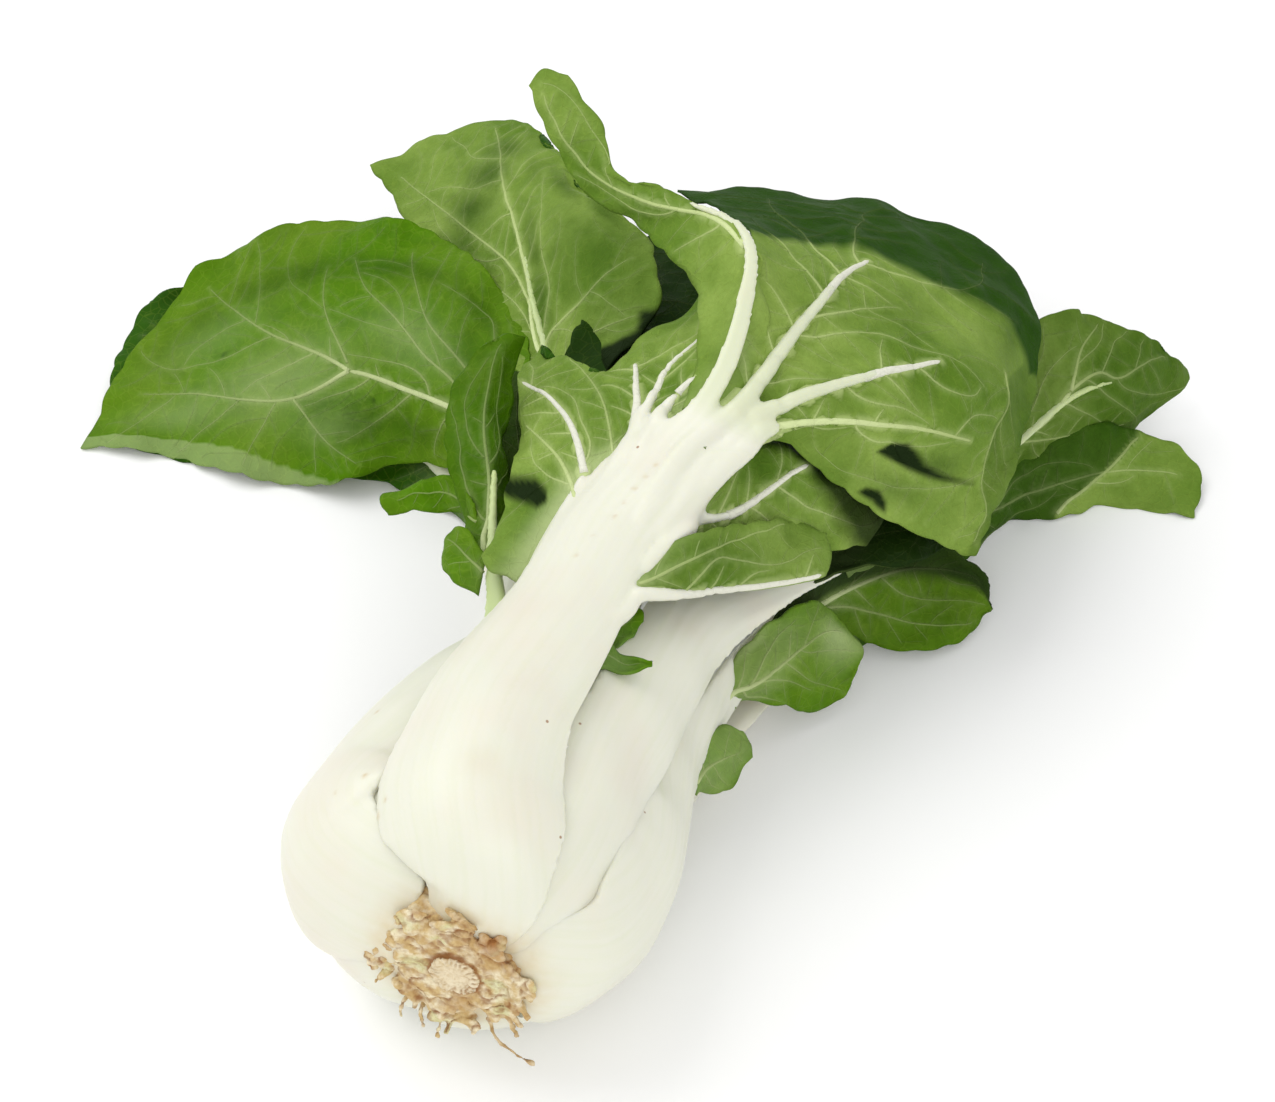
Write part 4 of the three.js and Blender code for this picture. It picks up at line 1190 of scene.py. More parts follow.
def inside(t, s, outline, surface):
    """How far the (t, s) places are inside a closed outline, 0 to 1, with a soft edge."""
    found = np.zeros(np.broadcast(t, s).shape, bool)
    apart = np.full(found.shape, np.inf)
    long, wide = surface.length, surface.width / surface.last
    for (t0, s0), (t1, s1) in zip(outline, outline[1:] + outline[:1]):
        crossed = (s0 > s) != (s1 > s)
        edge = t0 + (s - s0) * (t1 - t0) / (s1 - s0 if s1 != s0 else 1)
        found ^= crossed & (t < edge)
        side, over = (t1 - t0) * long, (s1 - s0) * wide
        share = np.clip(((t - t0) * long * side + (s - s0) * wide * over) / (side**2 + over**2), 0, 1)
        apart = np.minimum(apart, np.hypot((t - t0) * long - share * side, (s - s0) * wide - share * over))
    return np.clip(0.5 + np.where(found, apart, -apart) / TEAR_EDGE, 0, 1)


def tint_grids(surface, sheet, glow, pale):
    """What is painted on a sheet, each a grid of numbers from 0 to 1, painted shade, shadow and sheen among
    them.
    """
    shape = surface.rows, surface.columns
    t, s = surface.t[:, None], surface.s[None, :]
    tints = {
        # Painted shade: all over a sheet, then in its zones and patches
        "shade": np.full(shape, sheet.get("dark", 0.0)),
        "pale": pale,
        # Painted shadow: near-black all over a sheet that stands in a dark space between the leaves
        "gap": np.full(shape, sheet.get("deep", 0.0)),
    }
    for tint, share, soft, *edge in sheet.get("zones", ()):
        edge = np.array(edge)
        beyond = np.sign(share) * (t - np.interp(s, edge[:, 0], edge[:, 1])) * surface.length
        tints[tint] = np.maximum(tints[tint], abs(share) * np.clip(0.5 + beyond / soft, 0, 1))
    # The first are spots of painted shade, the second spots of painted sheen in a paler green
    for key, tint in (("patches", "shade"), ("sheen_spots", "pale")):
        for place_t, place_s, long, wide, share in sheet.get(key, ()):
            a = (t - place_t) * surface.length / long
            b = (s - place_s) / surface.last * surface.width / wide
            tints[tint] = np.maximum(tints[tint], share * np.exp(-(a**2) - b**2))
    # Tears are painted near-black, the shadow seen through them
    for outline in sheet.get("tears", ()):
        tints["gap"] = np.maximum(tints["gap"], inside(t, s, outline, surface))
    # Veins show less in the painted shade
    tints["vein"] = glow * (1 - VEIN_SHADED * tints["shade"])
    tints["white"] = np.zeros(shape)
    return tints


def build_crests(name, surface, veins, tints, finish, sizes):
    """The veins' crests on a sheet, tinted as the sheet is where they lie, its painted shade and shadow too.
    """
    vertices, faces, strength, white, places = vein_rods(surface, veins, sizes)
    crests = new_object(name, vertices, faces)
    crests.data.materials.append(finish)
    shade, pale, gap = (surface.at(tints[tint][..., None], places)[:, 0] for tint in ("shade", "pale", "gap"))
    paint(crests, "vein", strength * (1 - VEIN_SHADED * shade))
    paint(crests, "pale", np.maximum(pale, np.clip(2 * strength - 1.2, 0, 0.6)))
    paint(crests, "shade", shade)
    paint(crests, "gap", gap)
    paint(crests, "white", white)
    return crests


def build_sheet(name, sheet, finishes, rib, sizes, seed):
    """A sheet of a leaf: its parts, and its thick main veins with what stemmed_rod needs for each."""
    surface = Surface(sheet, sizes)
    rods = [main_vein(surface, places) for _, _, *places in sheet.get("rods", ())]
    mains = [main_vein(surface, given) for given in sheet.get("veins", ())]
    veins = side_veins(surface, rods + mains, seed)
    surface.trim(sizes, seed)
    glow, pale = relief(surface, sheet, veins, rib, sizes, seed)
    for vein in rods:
        vein.points = surface.at(surface.points, vein.places)
        vein.crest_from = THINNEST_ROD + 0.4
        vein.white = 1
    tints = tint_grids(surface, sheet, glow, pale)
    order = np.arange(surface.columns)[:: -surface.light_side]
    points = surface.points[:, order].reshape(-1, 3)
    blade = new_object(name, points, grid_faces(surface.rows, surface.columns))
    for finish in finishes:
        blade.data.materials.append(finish)
    for tint, values in tints.items():
        paint(blade, tint, values[:, order])
    modify(
        blade, "SOLIDIFY", thickness=sizes.thickness, offset=0, use_even_offset=False,
        material_offset=1, material_offset_rim=0,
    )
    crests = build_crests(name + "_veins", surface, veins, tints, finishes[0], sizes)
    stems = [(start, np.array(stem, float)) for start, stem, *_ in sheet.get("rods", ())]
    return [blade, crests], [(vein, surface, *stem) for vein, stem in zip(rods, stems)]


def stalk_rings(stations, rings, steps, edge):
    """A stalk's sections: (rings, around, 3) points and how far each is across and along the outer face."""
    stations = np.array(stations, float)
    u = np.linspace(0, len(stations) - 1, rings)
    middle = spline(stations[:, :3], u)
    along = unit(np.gradient(middle, axis=0))
    angle = np.radians(spline(stations[:, 3:4], u)[:, 0])
    section = spline(stations[:, 4:], u)
    reach = np.hypot(middle[:, 0] - BUTT[0], middle[:, 2] - BUTT[2])
    lean = np.minimum(0, middle[:, 1] - BULB_MIDDLE)
    out = np.stack([np.cos(angle) * reach, lean, np.sin(angle) * reach], axis=-1)
    out = unit(out - along * np.sum(out * along, axis=1, keepdims=True))
    side = np.cross(along, out)
    outer = np.linspace(-1, 1, steps)
    inner = np.linspace(0.98, -0.98, steps)
    u_across = np.concatenate([outer, inner])
    width, thick, bend = section[:, 0:1], section[:, 1:2], section[:, 2:3]
    thin = np.minimum(edge, thick / 2)
    profile = thin + (thick - thin) * np.sqrt(np.maximum(1 - inner**2 * 0.96, 0))
    inwards = np.concatenate([np.zeros((rings, steps)), profile], axis=1)
    turned = u_across[None, :] * width / 2 / bend
    radius = bend - inwards
    points = (
        middle[:, None]
        + side[:, None] * (np.sin(turned) * radius)[..., None]
        + out[:, None] * (np.cos(turned) * radius - bend)[..., None]
    )
    across = turned * bend
    run = np.repeat(run_along(middle)[:, None], 2 * steps, axis=1)
    outside = np.repeat(np.concatenate([np.ones(steps), np.zeros(steps)])[None], rings, axis=0)
    return points, across, run, outside, middle, section[:, 0] / 2


def stemmed_rod(vein, surface, start, stem):
    """A main vein as a rod that begins as wide as start, flush with the stalk's face along its stem."""
    keep = vein.width > THINNEST_ROD
    outs = surface.at(surface.normals(), vein.places[keep]) * surface.light_side
    path, width = vein.points[keep], vein.width[keep]
    root = spline(np.vstack([stem, path[:1]]), np.linspace(0, len(stem), 12 * len(stem)))[:-1]
    left = 1 - run_along(root) / run_along(np.vstack([root, path[:1]]))[-1]
    root_width = width[0] + (start - width[0]) * left
    sunk = np.concatenate([left**0.35 * (0.4 * root_width + 1.3), np.zeros(len(path))])
    path, width = np.vstack([root, path]), np.concatenate([root_width, width])
    outs = np.vstack([np.tile(outs[0], (len(root), 1)), outs])
    tip = np.ones(len(path))
    tip[-2:] = (0.9, 0.6)
    tip[:3] = (0.4, 0.7, 0.9)
    top, bottom = (0.4 * width + 0.3) * tip, 0.25 * width + 0.5
    return rod(path - outs * sunk[:, None], outs, width / 2 * tip, top, bottom, 12)


def grain_of(places, flat, grain):
    """Values at places on a remeshed stalk: the mean of the four nearest points of its first form."""
    tree = tree_of(flat)
    found = [tree.find_n(place, 4) for place in places]
    weights = np.array([[1 / (f[2] + 0.2) for f in four] for four in found])
    values = grain[np.array([[f[1] for f in four] for four in found])]
    return np.einsum("ij,ijk->ik", weights, values) / weights.sum(axis=1, keepdims=True)


def build_stalk(name, leaf, rods, finish, sizes, seed):
    """A stalk with its main veins grown together, ribbed and softly lumpy."""
    points, across, run, outside, _, half_widths = stalk_rings(leaf["stalk"], 130, 26, sizes.edge / MM)
    around = points.shape[1]
    faces = grid_faces(len(points), around, closed=True)
    last = (len(points) - 1) * around
    faces += [tuple(reversed(range(around))), tuple(range(last, last + around))]
    flat = points.reshape(-1, 3)
    parts = [new_object(name, flat, faces)]
    for grown in rods:
        parts.append(new_object(name + "_rod", *stemmed_rod(*grown)))
    made = join(parts, name)
    modify(made, "REMESH", mode="VOXEL", voxel_size=sizes.voxel, use_smooth_shade=True)
    modify(made, "SMOOTH", factor=0.5, iterations=6)
    places = places_of(made)
    grain = np.stack([across.ravel(), run.ravel(), outside.ravel()], axis=-1)
    across, along, outer = grain_of(places, flat, grain).T
    outer = np.clip(outer, 0, 1)
    share = along / run.max()
    lines = np.stack([across, along * 0.05, 0 * share], axis=-1)
    ribs = waves(lines, sizes.rib_width / MM, seed, 6) * outer * (0.25 + share) * sizes.rib / MM
    soft = waves(places, 30, seed + 3) * sizes.swell / MM * np.clip(1.4 - 1.6 * share, 0, 1)
    places = places + normals_of(made) * (ribs + soft)[:, None]
    places[:, 2] = np.maximum(places[:, 2], 0.02)
    set_places(made, places)
    paint(made, "across", across)
    paint(made, "along", along)
    half = np.interp(along, run[:, 0], half_widths)
    paint(made, "green", np.clip(1.25 - half / 3.2, leaf.get("fresh", 0), leaf.get("freshest", 0.9)))
    mark = np.zeros(len(places))
    for *middle, width, share in leaf.get("marks", ()):
        mark = np.maximum(mark, share * near(np.linalg.norm(places - np.array(middle), axis=1), width))
    paint(made, "mark", mark)
    paint(made, "butt", near(np.maximum(np.linalg.norm(places - np.array(BUTT), axis=1) - 17, 0), 6))
    made.data.materials.append(finish)
    return made


def finished(made, slot, *nodes):
    """Makes a piece ride on the head and stand for its nodes."""
    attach(made, "root")
    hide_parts(*nodes)


def add(tree, kind, inputs=None, **settings):
    """Adds a node with its settings; an input is a value or a socket to link."""
    node = tree.nodes.new(kind)
    for key, value in settings.items():
        setattr(node, key, value)
    for key, value in (inputs or {}).items():
        if isinstance(value, bpy.types.NodeSocket):
            tree.links.new(value, node.inputs[key])
        else:
            node.inputs[key].default_value = value
    return node


def rgba(colour):
    """A colour with alpha."""
    return (*(min(1, c) for c in colour), 1)


def new_material(name, patterns=(), painted=()):
    """A node material with nothing on its shader yet: (material, tree, shader, coordinates, values).

    The values are what its colours follow: soft noise, given as (name, width in millimetres, detail),
    and the numbers that are painted on the mesh by these names.
    """
    material = bpy.data.materials.new(name)
    material.use_nodes = True
    tree = material.node_tree
    tree.nodes.clear()
    shader = add(tree, "ShaderNodeBsdfPrincipled")
    add(tree, "ShaderNodeOutputMaterial", {"Surface": shader.outputs[0]})
    coordinates = add(tree, "ShaderNodeTexCoord").outputs["Object"]
    values = {each: add(tree, "ShaderNodeAttribute", attribute_name=each).outputs["Fac"] for each in painted}
    for each, width, detail in patterns:
        values[each] = add(
            tree, "ShaderNodeTexNoise", {"Vector": coordinates, "Scale": 1 / (width * MM), "Detail": detail}
        ).outputs["Fac"]
    return material, tree, shader, coordinates, values


def coat(tree, shader, base, values, layers):
    """Lays colours over the base colour one after the other, each where its value says.

    A layer is (value's name, colour) or (value's name, colour, (value that gives none of it, value that
    gives its full share, share)), with "MULTIPLY" at the end for a stain.
    """
    for name, colour, *rest in layers:
        share = values[name]
        if rest:
            none, full, most = rest[0]
            share = add(tree, "ShaderNodeMapRange", {0: share, 1: none, 2: full, 4: most}).outputs[0]
        mode = rest[1] if len(rest) > 1 else "MIX"
        base = add(
            tree, "ShaderNodeMix", {0: share, 6: base, 7: rgba(colour)}, data_type="RGBA", blend_type=mode
        ).outputs[2]
    tree.links.new(base, shader.inputs["Base Color"])


def leaf_finish(colours, name, colour, duller, roughness, relief, vein_tint):
    """A leaf's thin waxy skin: the eye sees a soft sheen over mottled green with a fine net of pale veins.

    The underside is matt and greyer, and its veins are paler than those of the upper side.
    """
    # Broad patches of fresher and duller green; puckers, painted shade in their hollows; fibres and pores
    # under 1 mm
    patterns = ("patches", 45, 3), ("puckers", 7, 2), ("pores", 0.9, 2)
    material, tree, shader, coordinates, values = new_material(
        name, patterns, ("shade", "vein", "pale", "white", "gap")
    )
    # The finest veins: a net of cells about 3 mm across, bent by a slower noise, coarser than real to show
    drift = add(tree, "ShaderNodeTexNoise", {"Vector": coordinates, "Scale": 1 / (6 * MM), "Detail": 1})
    bent = add(
        tree, "ShaderNodeMix", {0: 0.0016, 4: coordinates, 5: drift.outputs["Color"]}, data_type="VECTOR"
    )
    cells = add(
        tree, "ShaderNodeTexVoronoi", {"Vector": bent.outputs[1], "Scale": 1 / (3.2 * MM)},
        feature="DISTANCE_TO_EDGE",
    )
    values["net"] = add(
        tree, "ShaderNodeMapRange", {0: cells.outputs["Distance"], 1: 0.0, 2: 0.07, 3: 1.0, 4: 0.0}
    ).outputs[0]
    coat(tree, shader, rgba(colour), values, (
        ("patches", hex_colour(duller), (0.38, 0.62, 1)),
        ("net", hex_colour("A9C24E"), (0, 1, 0.09)),
        # Painted shade: deep green where a sheet folds or turns from the light
        ("shade", colours.dark),
        # Painted shade in the hollows of the puckers
        ("puckers", (0.72, 0.78, 0.6), (0.55, 0.35, 0.6), "MULTIPLY"),
        ("pores", (0.7, 0.7, 0.6), (0.3, 0.7, 0.35), "MULTIPLY"),
        ("vein", [c * vein_tint for c in colours.vein]),
        # The leaf's own paler green by its stalk, and painted sheen where the light grazes
        ("pale", [c * 1.05 for c in colours.stalk_green]),
        ("white", colours.stalk),
        # Painted shadow: near-black in the dark spaces between the leaves and in tears
        ("gap", hex_colour("17260A")),
    ))
    rough = add(tree, "ShaderNodeMapRange", {0: values["patches"], 3: roughness - 0.06, 4: roughness + 0.06})
    tree.links.new(rough.outputs[0], shader.inputs["Roughness"])
    shader.inputs["Specular IOR Level"].default_value = 0.05
    fine = add(tree, "ShaderNodeMath", {0: values["net"], 1: values["pores"]}, operation="ADD")
    height = add(
        tree, "ShaderNodeMath", {0: values["puckers"], 1: 5.0, 2: fine.outputs[0]}, operation="MULTIPLY_ADD"
    )
    bump = add(tree, "ShaderNodeBump", {"Height": height.outputs[0], "Strength": relief, "Distance": 0.4 * MM})
    tree.links.new(bump.outputs[0], shader.inputs["Normal"])
    return material


def stalk_finish(colours):
    """Crisp waxy stalk full of water: the eye sees a white that glows a little, with faint green threads."""
    material, tree, shader, coordinates, values = new_material(
        "waxy_white_stalk",
        # Faint blush, and torn tan skin where the stalks leave the root plate
        (("blush", 25, 2), ("torn", 4, 4)),
        ("across", "along", "green", "mark", "butt"),
    )
    # Threads that run the length of the stalk, 2 mm apart
    slow = add(tree, "ShaderNodeMath", {0: values["along"], 1: 0.04}, operation="MULTIPLY")
    grain = add(tree, "ShaderNodeCombineXYZ", {0: values["across"], 1: slow.outputs[0]})
    threads = add(tree, "ShaderNodeTexNoise", {"Vector": grain.outputs[0], "Scale": 0.5, "Detail": 3})
    values["threads"] = threads.outputs["Fac"]
    # Brown specks under 1 mm, a few to each stalk
    specks = add(tree, "ShaderNodeTexVoronoi", {"Vector": coordinates, "Scale": 1 / (14 * MM)})
    values["specks"] = specks.outputs["Distance"]
    tan = add(tree, "ShaderNodeMath", {0: values["butt"], 1: values["torn"]}, operation="MULTIPLY")
    values["tan"] = tan.outputs[0]
    coat(tree, shader, rgba(colours.stalk), values, (
        ("threads", hex_colour("D2D8B4"), (0.45, 0.7, 0.22)),
        ("blush", hex_colour("DFD2C2"), (0.5, 0.75, 0.4)),
        ("green", hex_colour("B4C77E")),
        ("mark", hex_colour("BFA060")),
        ("specks", colours.scar, (0.035, 0.02, 0.8)),
        ("tan", colours.root),
    ))
    shader.inputs["Roughness"].default_value = 0.38
    shader.inputs["Subsurface Weight"].default_value = 0.25
    shader.inputs["Subsurface Radius"].default_value = (1.0, 0.9, 0.55)
    shader.inputs["Subsurface Scale"].default_value = 3 * MM
    bump = add(tree, "ShaderNodeBump", {"Height": values["threads"], "Strength": 0.25, "Distance": 0.3 * MM})
    tree.links.new(bump.outputs[0], shader.inputs["Normal"])
    return material


def root_finish(colours):
    """Dry torn root plate: the eye sees dull tan scales, brown in the cracks, round a pale fibrous cut."""
    material, tree, shader, _, values = new_material(
        "dry_tan_root",
        # Tan and cream; browner and greener patches; grit under 1 mm
        (("scales", 3, 5), ("patches", 9, 3), ("grit", 0.8, 2)),
        ("cut", "tuft", "brown"),
    )
    coat(tree, shader, rgba(hex_colour("CDB27C")), values, (
        ("scales", hex_colour("E8DCBC"), (0.42, 0.6, 1)),
        ("patches", hex_colour("B8935A"), (0.48, 0.62, 0.7)),
        ("patches", hex_colour("D2D6A4"), (0.42, 0.34, 0.6)),
        ("cut", hex_colour("E4D6B8")),
        ("tuft", hex_colour("A0621A")),
        ("brown", colours.scar),
        ("grit", (0.72, 0.62, 0.45), (0.45, 0.7, 0.5), "MULTIPLY"),
    ))
    shader.inputs["Roughness"].default_value = 0.8
    height = add(tree, "ShaderNodeMath", {0: values["scales"], 1: values["grit"]}, operation="ADD")
    bump = add(tree, "ShaderNodeBump", {"Height": height.outputs[0], "Strength": 0.8, "Distance": 0.5 * MM})
    tree.links.new(bump.outputs[0], shader.inputs["Normal"])
    return material


# Each leaf finish by its slot: its name, colour, duller colour, roughness, relief and tint of its veins.
LEAF_FINISHES = {
    "leaf_underside": ("matt_leaf_underside", "underside", "5F7F28", 0.62, 0.35, 1.0),
    "bright_leaf": ("satin_bright_leaf", "bright", "5E8018", 0.5, 0.3, 0.7),
    "dark_leaf": ("satin_dark_leaf", "dark", "2E5A05", 0.5, 0.3, 0.5),
}


def lump(name, size):
    """A rounded lump, size millimetres to each side of the origin."""
    bpy.ops.object.select_all(action="DESELECT")
    bpy.ops.mesh.primitive_ico_sphere_add(subdivisions=3, radius=1, scale=[c * MM for c in size])
    made = bpy.context.object
    made.name = name
    bpy.ops.object.transform_apply(location=True, rotation=True, scale=True)
    return made


def copies(source, placings):
    """Copies of a modelled piece, each with its own mesh, in place of it: (place, size, turn) for each."""
    made = []
    for place, size, turn in placings:
        piece = source.copy()
        piece.data = source.data.copy()
        bpy.context.collection.objects.link(piece)
        piece.location = np.asarray(place) * MM
        piece.scale = size
        piece.rotation_euler = turn
        made.append(piece)
    bpy.data.objects.remove(source)
    take_up(*made)
    bpy.ops.object.transform_apply(location=True, rotation=True, scale=True)
    return made


def rootlet(name, points, radius, tip):
    """A rootlet that tapers to its tip."""
    path = spaced(points, np.linspace(0, 1, 14))
    half = radius + (tip - radius) * np.linspace(0, 1, 14)
    outs = np.tile([1.0, 0.0, 0.2], (14, 1))
    return new_object(name, *rod(path, outs, half, half, half, 8))


def butt_plate(middle, radius, depth):
    """The flat round plate with an uneven rim that the scales stand on."""
    plate = lump("plate", (radius, depth, radius))
    places = places_of(plate)
    far = np.hypot(places[:, 0], places[:, 2]) / radius
    places[:, 1] = np.sign(places[:, 1]) * depth * np.sqrt(np.maximum(1 - far**8, 0))
    turn = np.arctan2(places[:, 2], places[:, 0])
    uneven = 0.95 + 0.05 * np.sin(3 * turn + 1) + 0.04 * np.sin(7 * turn)
    places[:, (0, 2)] *= uneven[:, None]
    set_places(plate, places + middle + np.array([0, depth + 0.4, 0]))
    return plate


def scars(middle, radius, rng):
    """Scars of leaves that have come away: thin scales in uneven rounds, the outer ones further back."""
    placings = []
    for count, reach, size in SCAR_ROUNDS:
        for k in range(count):
            angle = 2 * math.pi * (k + 0.4 * rng.normal()) / count
            far = radius * reach * rng.uniform(0.9, 1.1)
            back = 0.9 + 2.2 * max(0, far / radius - 0.7)
            place = middle + np.array([math.cos(angle) * far, back, math.sin(angle) * far])
            wide = size * rng.uniform(0.6, 1.2)
            turn = (0.35 * rng.normal(), -angle - math.pi / 2, 0.2 * rng.normal())
            placings.append((place, (wide, 1, 0.5 * wide), turn))
    return copies(lump("scale", (1, 1, 1)), placings)


def scorched_tuft(place, rng):
    """A small heap of scorched scales above the cut."""
    placings = [
        (place + rng.normal(size=3) * np.array([1.8, 0.6, 1.5]), rng.uniform(1, 1.9, 3), rng.uniform(0, 3, 3))
        for _ in range(9)
    ]
    return copies(lump("tuft", (1, 1, 1)), placings)


def cut_root(radius):
    """The cut root with the raised collar round it."""
    x, y, z = BUTT
    parts = []
    bpy.ops.mesh.primitive_torus_add(
        major_segments=48, minor_segments=12, major_radius=radius * 1.28 * MM, minor_radius=1.5 * MM,
        rotation=(math.pi / 2, 0, 0), location=(x * MM, (y + 1.7) * MM, z * MM),
    )
    parts.append(bpy.context.object)
    bpy.ops.object.transform_apply(location=True, rotation=True, scale=True)
    bpy.ops.mesh.primitive_cylinder_add(
        vertices=48, radius=radius * MM, depth=7 * MM, rotation=(math.pi / 2, 0, 0),
        location=(x * MM, (y + 2.7) * MM, z * MM),
    )
    parts.append(bpy.context.object)
    bpy.ops.object.transform_apply(location=True, rotation=True, scale=True)
    return parts


def rootlets(middle, plate_radius, radius, rng):
    """The long rootlets and the short stubs between them."""
    parts = [rootlet(f"rootlet_{i}", points, radius, 0.5) for i, points in enumerate(ROOTLETS)]
    for i in range(8):
        angle = rng.uniform(-2.9, 0.1)
        far = plate_radius * rng.uniform(0.6, 0.92)
        start = middle + np.array([math.cos(angle) * far, 3, math.sin(angle) * far])
        way = np.array([math.cos(angle) * 0.7, -0.6, math.sin(angle) * 0.8])
        points = [start, start + way * 3.4, start + way * 6 + rng.normal(size=3) * 0.9]
        parts.append(rootlet(f"root_hair_{i}", points, 1.1, 0.6))
    return parts


def roughen(made, cut_radius, tuft_place):
    """Fibres on the cut, cracks and grain on the plate; the hollows and spots are painted brown."""
    x, y, z = BUTT
    places = places_of(made)
    from_cut = np.hypot(places[:, 0] - x, places[:, 2] - z)
    face = (places[:, 1] < y + 1.5) & (from_cut < cut_radius)
    angle = np.arctan2(places[:, 2] - z, places[:, 0] - x)
    fibres = np.sin(angle * 26 + 2.4 * waves(places, 3, SEED + 2)) * np.clip(from_cut / 3 - 0.4, 0, 1)
    broad = waves(places, 8, SEED)
    cracks = near(broad, 0.13) * (1 - near(np.maximum(from_cut - cut_radius - 2, 0), 1.5))
    rough = 0.3 * broad + 0.2 * waves(places, 2.6, SEED + 1) - 0.45 * cracks
    height = np.where(face, 0.2 * fibres + 0.2 * waves(places, 2, SEED + 4), rough)
    places = places + normals_of(made) * height[:, None]
    places[:, 1] = np.maximum(places[:, 1], y - 2.5)
    set_places(made, places)
    # Hollows lie below the same surface made smoother
    modify(made, "SMOOTH", factor=0.5, iterations=14)
    hollow = np.sum((places_of(made) - places) * normals_of(made), axis=1)
    set_places(made, places)
    uneven = np.clip(0.55 + 0.5 * waves(places, 10, SEED + 3), 0, 1)
    brown = 1.6 * np.clip(hollow, 0, 1) + 0.7 * cracks * uneven
    brown += 0.8 * near(from_cut - cut_radius, 0.7) * (places[:, 1] < y + 3)
    spots = np.clip(3 * waves(places, 3, SEED + 5) - 0.6, 0, 1)
    brown += 0.55 * spots * uneven * ~face
    streaks = np.clip(-1.2 * fibres - 0.35, 0, 1) * near(from_cut - 0.8 * cut_radius, 1.4) * uneven
    paint(made, "brown", np.clip(np.where(face, streaks, brown), 0, 0.9))
    paint(made, "cut", face * (0.7 + 0.3 * fibres))
    paint(made, "tuft", near(np.linalg.norm(places - tuft_place, axis=1), 3.6))


class BOKCHOY_OT_root_plate(bpy.types.Operator):
    """Build the root plate with its cut, scars and rootlets"""

    bl_idname = "bokchoy.root_plate"
    bl_label = "Root plate"

    def execute(self, context):
        sizes = context.scene.bokchoy_root
        rng = np.random.default_rng(SEED)
        radius, cut_radius = sizes.radius / MM, sizes.cut_radius / MM
        middle = np.array(BUTT) + np.array([-2, 0, -0.5])
        tuft_place = np.array(BUTT) + np.array([9.5, 1.8, 13.5])
        parts = [butt_plate(middle, radius, sizes.depth / MM)]
        parts += scars(middle, radius, rng)
        parts += scorched_tuft(tuft_place, rng)
        parts += cut_root(cut_radius)
        parts += rootlets(middle, radius, sizes.rootlet_radius / MM, rng)
        made = join(parts, "root_plate_dressed")
        modify(made, "REMESH", mode="VOXEL", voxel_size=ROOT_VOXEL * MM, use_smooth_shade=True)
        modify(made, "SMOOTH", factor=0.5, iterations=1)
        roughen(made, cut_radius, tuft_place)
        made.data.materials.clear()
        made.data.materials.append(root_finish(context.scene.bokchoy_colours))
        finished(made, "root", "root_plate")
        return {"FINISHED"}


class BOKCHOY_OT_leaves(bpy.types.Operator):
    """Build every leaf: its ribbed stalk, its veined blade and its loose lobes"""

    bl_idname = "bokchoy.leaves"
    bl_label = "Leaves"

    def execute(self, context):
        scene = context.scene
        blade_sizes, stalk_sizes, colours = scene.bokchoy_blades, scene.bokchoy_stalks, scene.bokchoy_colours
        slots = {row["node"]: row["material_slot"] for row in frame["record"]["subparts"]}
        white = stalk_finish(colours)
        greens = {
            slot: leaf_finish(colours, name, getattr(colours, colour), *rest)
            for slot, (name, colour, *rest) in LEAF_FINISHES.items()
        }
        for order, (name, leaf) in enumerate(LEAVES.items()):
            seed = SEED + 40 * order
            finishes = [greens[slot] for slot in leaf["faces"]]
            *_, middle, half = stalk_rings(leaf["stalk"], 120, 8, stalk_sizes.edge / MM)
            parts, rods = [], []
            for number, sheet in enumerate(leaf["blade"]):
                made, found = build_sheet(
                    f"{name}_sheet_{number}", sheet, finishes, (middle, half), blade_sizes, seed + number
                )
                parts += made
                rods += found
            node = name + "_blade"
            finished(join(parts, node + "_dressed"), slots[node], node)
            for number, sheet in enumerate(leaf.get("lobes", ()), 1):
                node = f"{name}_lobe_{number}"
                made, _ = build_sheet(
                    node + "_sheet", sheet, finishes, (middle, half), blade_sizes, seed + 10 + number
                )
                finished(join(made, node + "_dressed"), slots[node], node)
            node = name + "_stalk"
            made = build_stalk(node + "_dressed", leaf, rods, white, stalk_sizes, seed + 20)
            finished(made, slots[node], node)
        return {"FINISHED"}


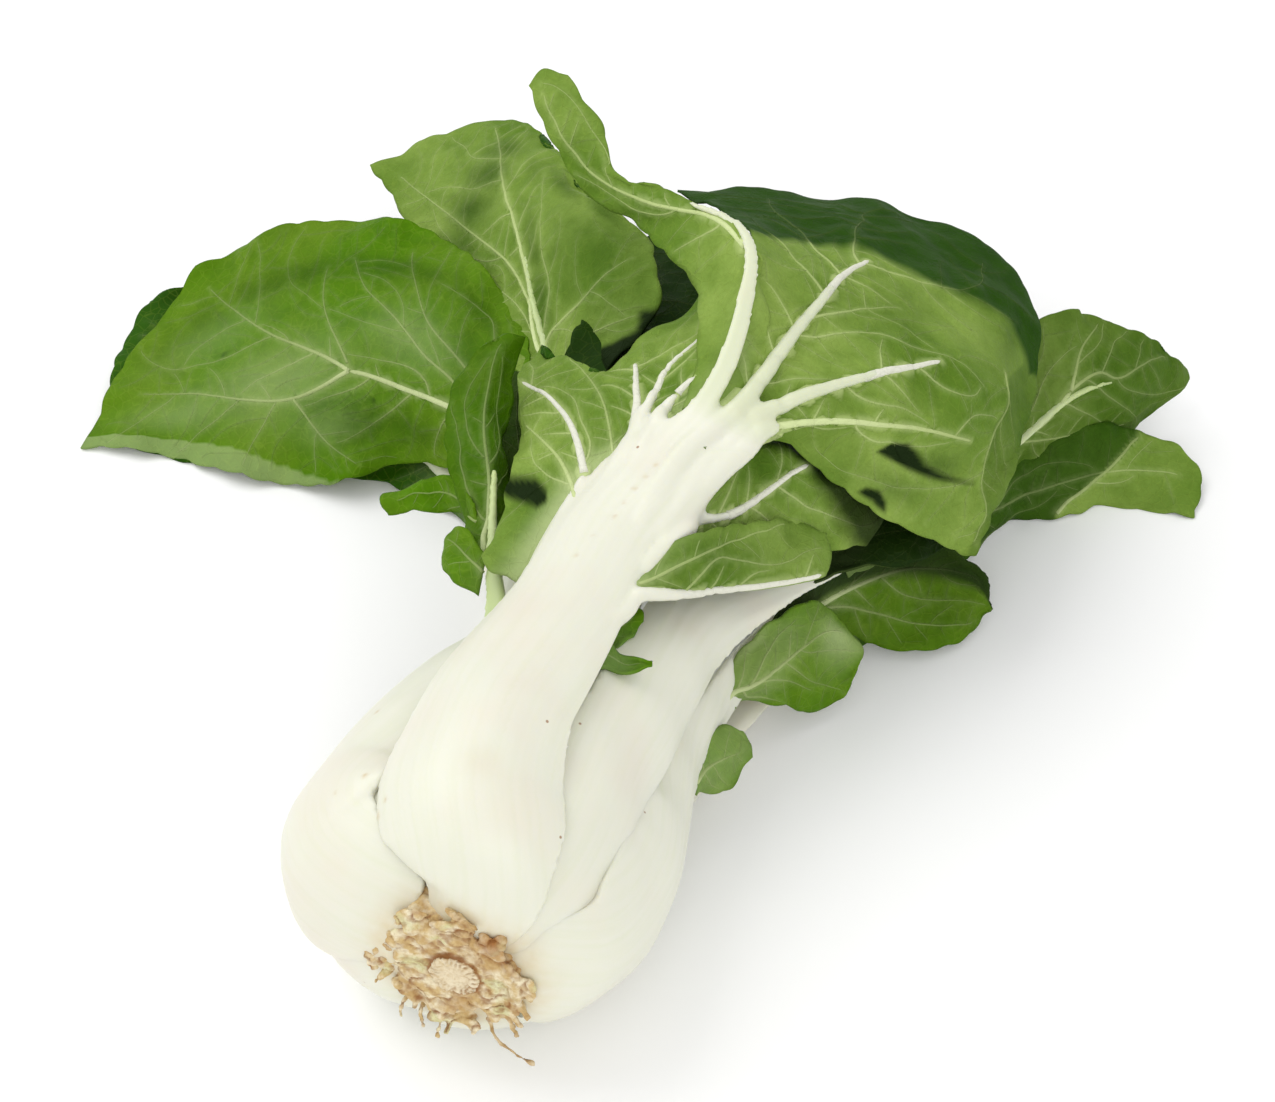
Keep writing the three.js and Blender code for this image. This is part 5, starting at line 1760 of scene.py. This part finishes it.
class BOKCHOY_OT_stage(bpy.types.Operator):
    """Set up the pale floor, the soft studio light and the camera"""

    bl_idname = "bokchoy.stage"
    bl_label = "Stage"

    def execute(self, context):
        scene = context.scene
        bpy.ops.object.select_all(action="DESELECT")
        bpy.ops.mesh.primitive_plane_add(size=8)
        floor = context.object
        floor.name = "floor"
        # Matt paper: the eye sees an even pale ground with no sheen
        material, _, shader, *_ = new_material("matt_white_paper")
        shader.inputs["Base Color"].default_value = rgba(hex_colour("FDFDFD"))
        shader.inputs["Roughness"].default_value = 0.9
        floor.data.materials.append(material)
        world = bpy.data.worlds.new("studio")
        world.use_nodes = True
        sky = world.node_tree.nodes["Background"]
        sky.inputs["Color"].default_value = (1, 1, 1, 1)
        sky.inputs["Strength"].default_value = 0.84
        scene.world = world
        for name, place, turn, size, power in (
            ("key", (-0.75, 0.15, 1.1), (0, -35, 0), 1.1, 6.4),
            ("fill", (0.5, -1.0, 0.9), (48, 0, 27), 1.0, 4.8),
        ):
            bpy.ops.object.light_add(
                type="AREA", location=place, rotation=[math.radians(a) for a in turn]
            )
            light = context.object
            light.name = name
            light.data.size = size
            light.data.energy = power
        bpy.ops.object.camera_add(
            location=[c * MM for c in CAMERA_PLACE],
            rotation=(math.radians(CAMERA_TILT), 0, math.radians(CAMERA_TURN)),
        )
        camera = context.object
        camera.data.lens = CAMERA_LENS
        camera.data.sensor_width = 36
        scene.camera = camera
        scene.view_settings.view_transform = "Standard"
        return {"FINISHED"}


class BOKCHOY_PT_panel(bpy.types.Panel):
    """The steps of building the head, and its sizes and colours"""

    bl_idname = "BOKCHOY_PT_panel"
    bl_label = "Bok choy"
    bl_space_type = "VIEW_3D"
    bl_region_type = "UI"
    bl_category = "Bok choy"

    def draw(self, context):
        layout = self.layout
        for operator in OPERATORS:
            layout.operator(operator.bl_idname)
        for name, (group, label) in GROUPS.items():
            box = layout.box()
            box.label(text=label)
            for key in group.__annotations__:
                box.prop(getattr(context.scene, name), key)


OPERATORS = (BOKCHOY_OT_root_plate, BOKCHOY_OT_leaves, BOKCHOY_OT_stage)
GROUPS = {
    "bokchoy_blades": (BladeSizes, "Blades"),
    "bokchoy_stalks": (StalkSizes, "Stalks"),
    "bokchoy_root": (RootSizes, "Root plate"),
    "bokchoy_colours": (HeadColours, "Colours"),
}
CLASSES = (*(group for group, _ in GROUPS.values()), *OPERATORS, BOKCHOY_PT_panel)


def register():
    for each in CLASSES:
        bpy.utils.register_class(each)
    for name, (group, _) in GROUPS.items():
        setattr(bpy.types.Scene, name, bpy.props.PointerProperty(type=group))


def unregister():
    for name in GROUPS:
        delattr(bpy.types.Scene, name)
    for each in reversed(CLASSES):
        bpy.utils.unregister_class(each)


def main():
    """Builds the head on its stage."""
    register()
    bpy.ops.bokchoy.root_plate()
    bpy.ops.bokchoy.leaves()
    bpy.ops.bokchoy.stage()


if __name__ == "__main__":
    main()
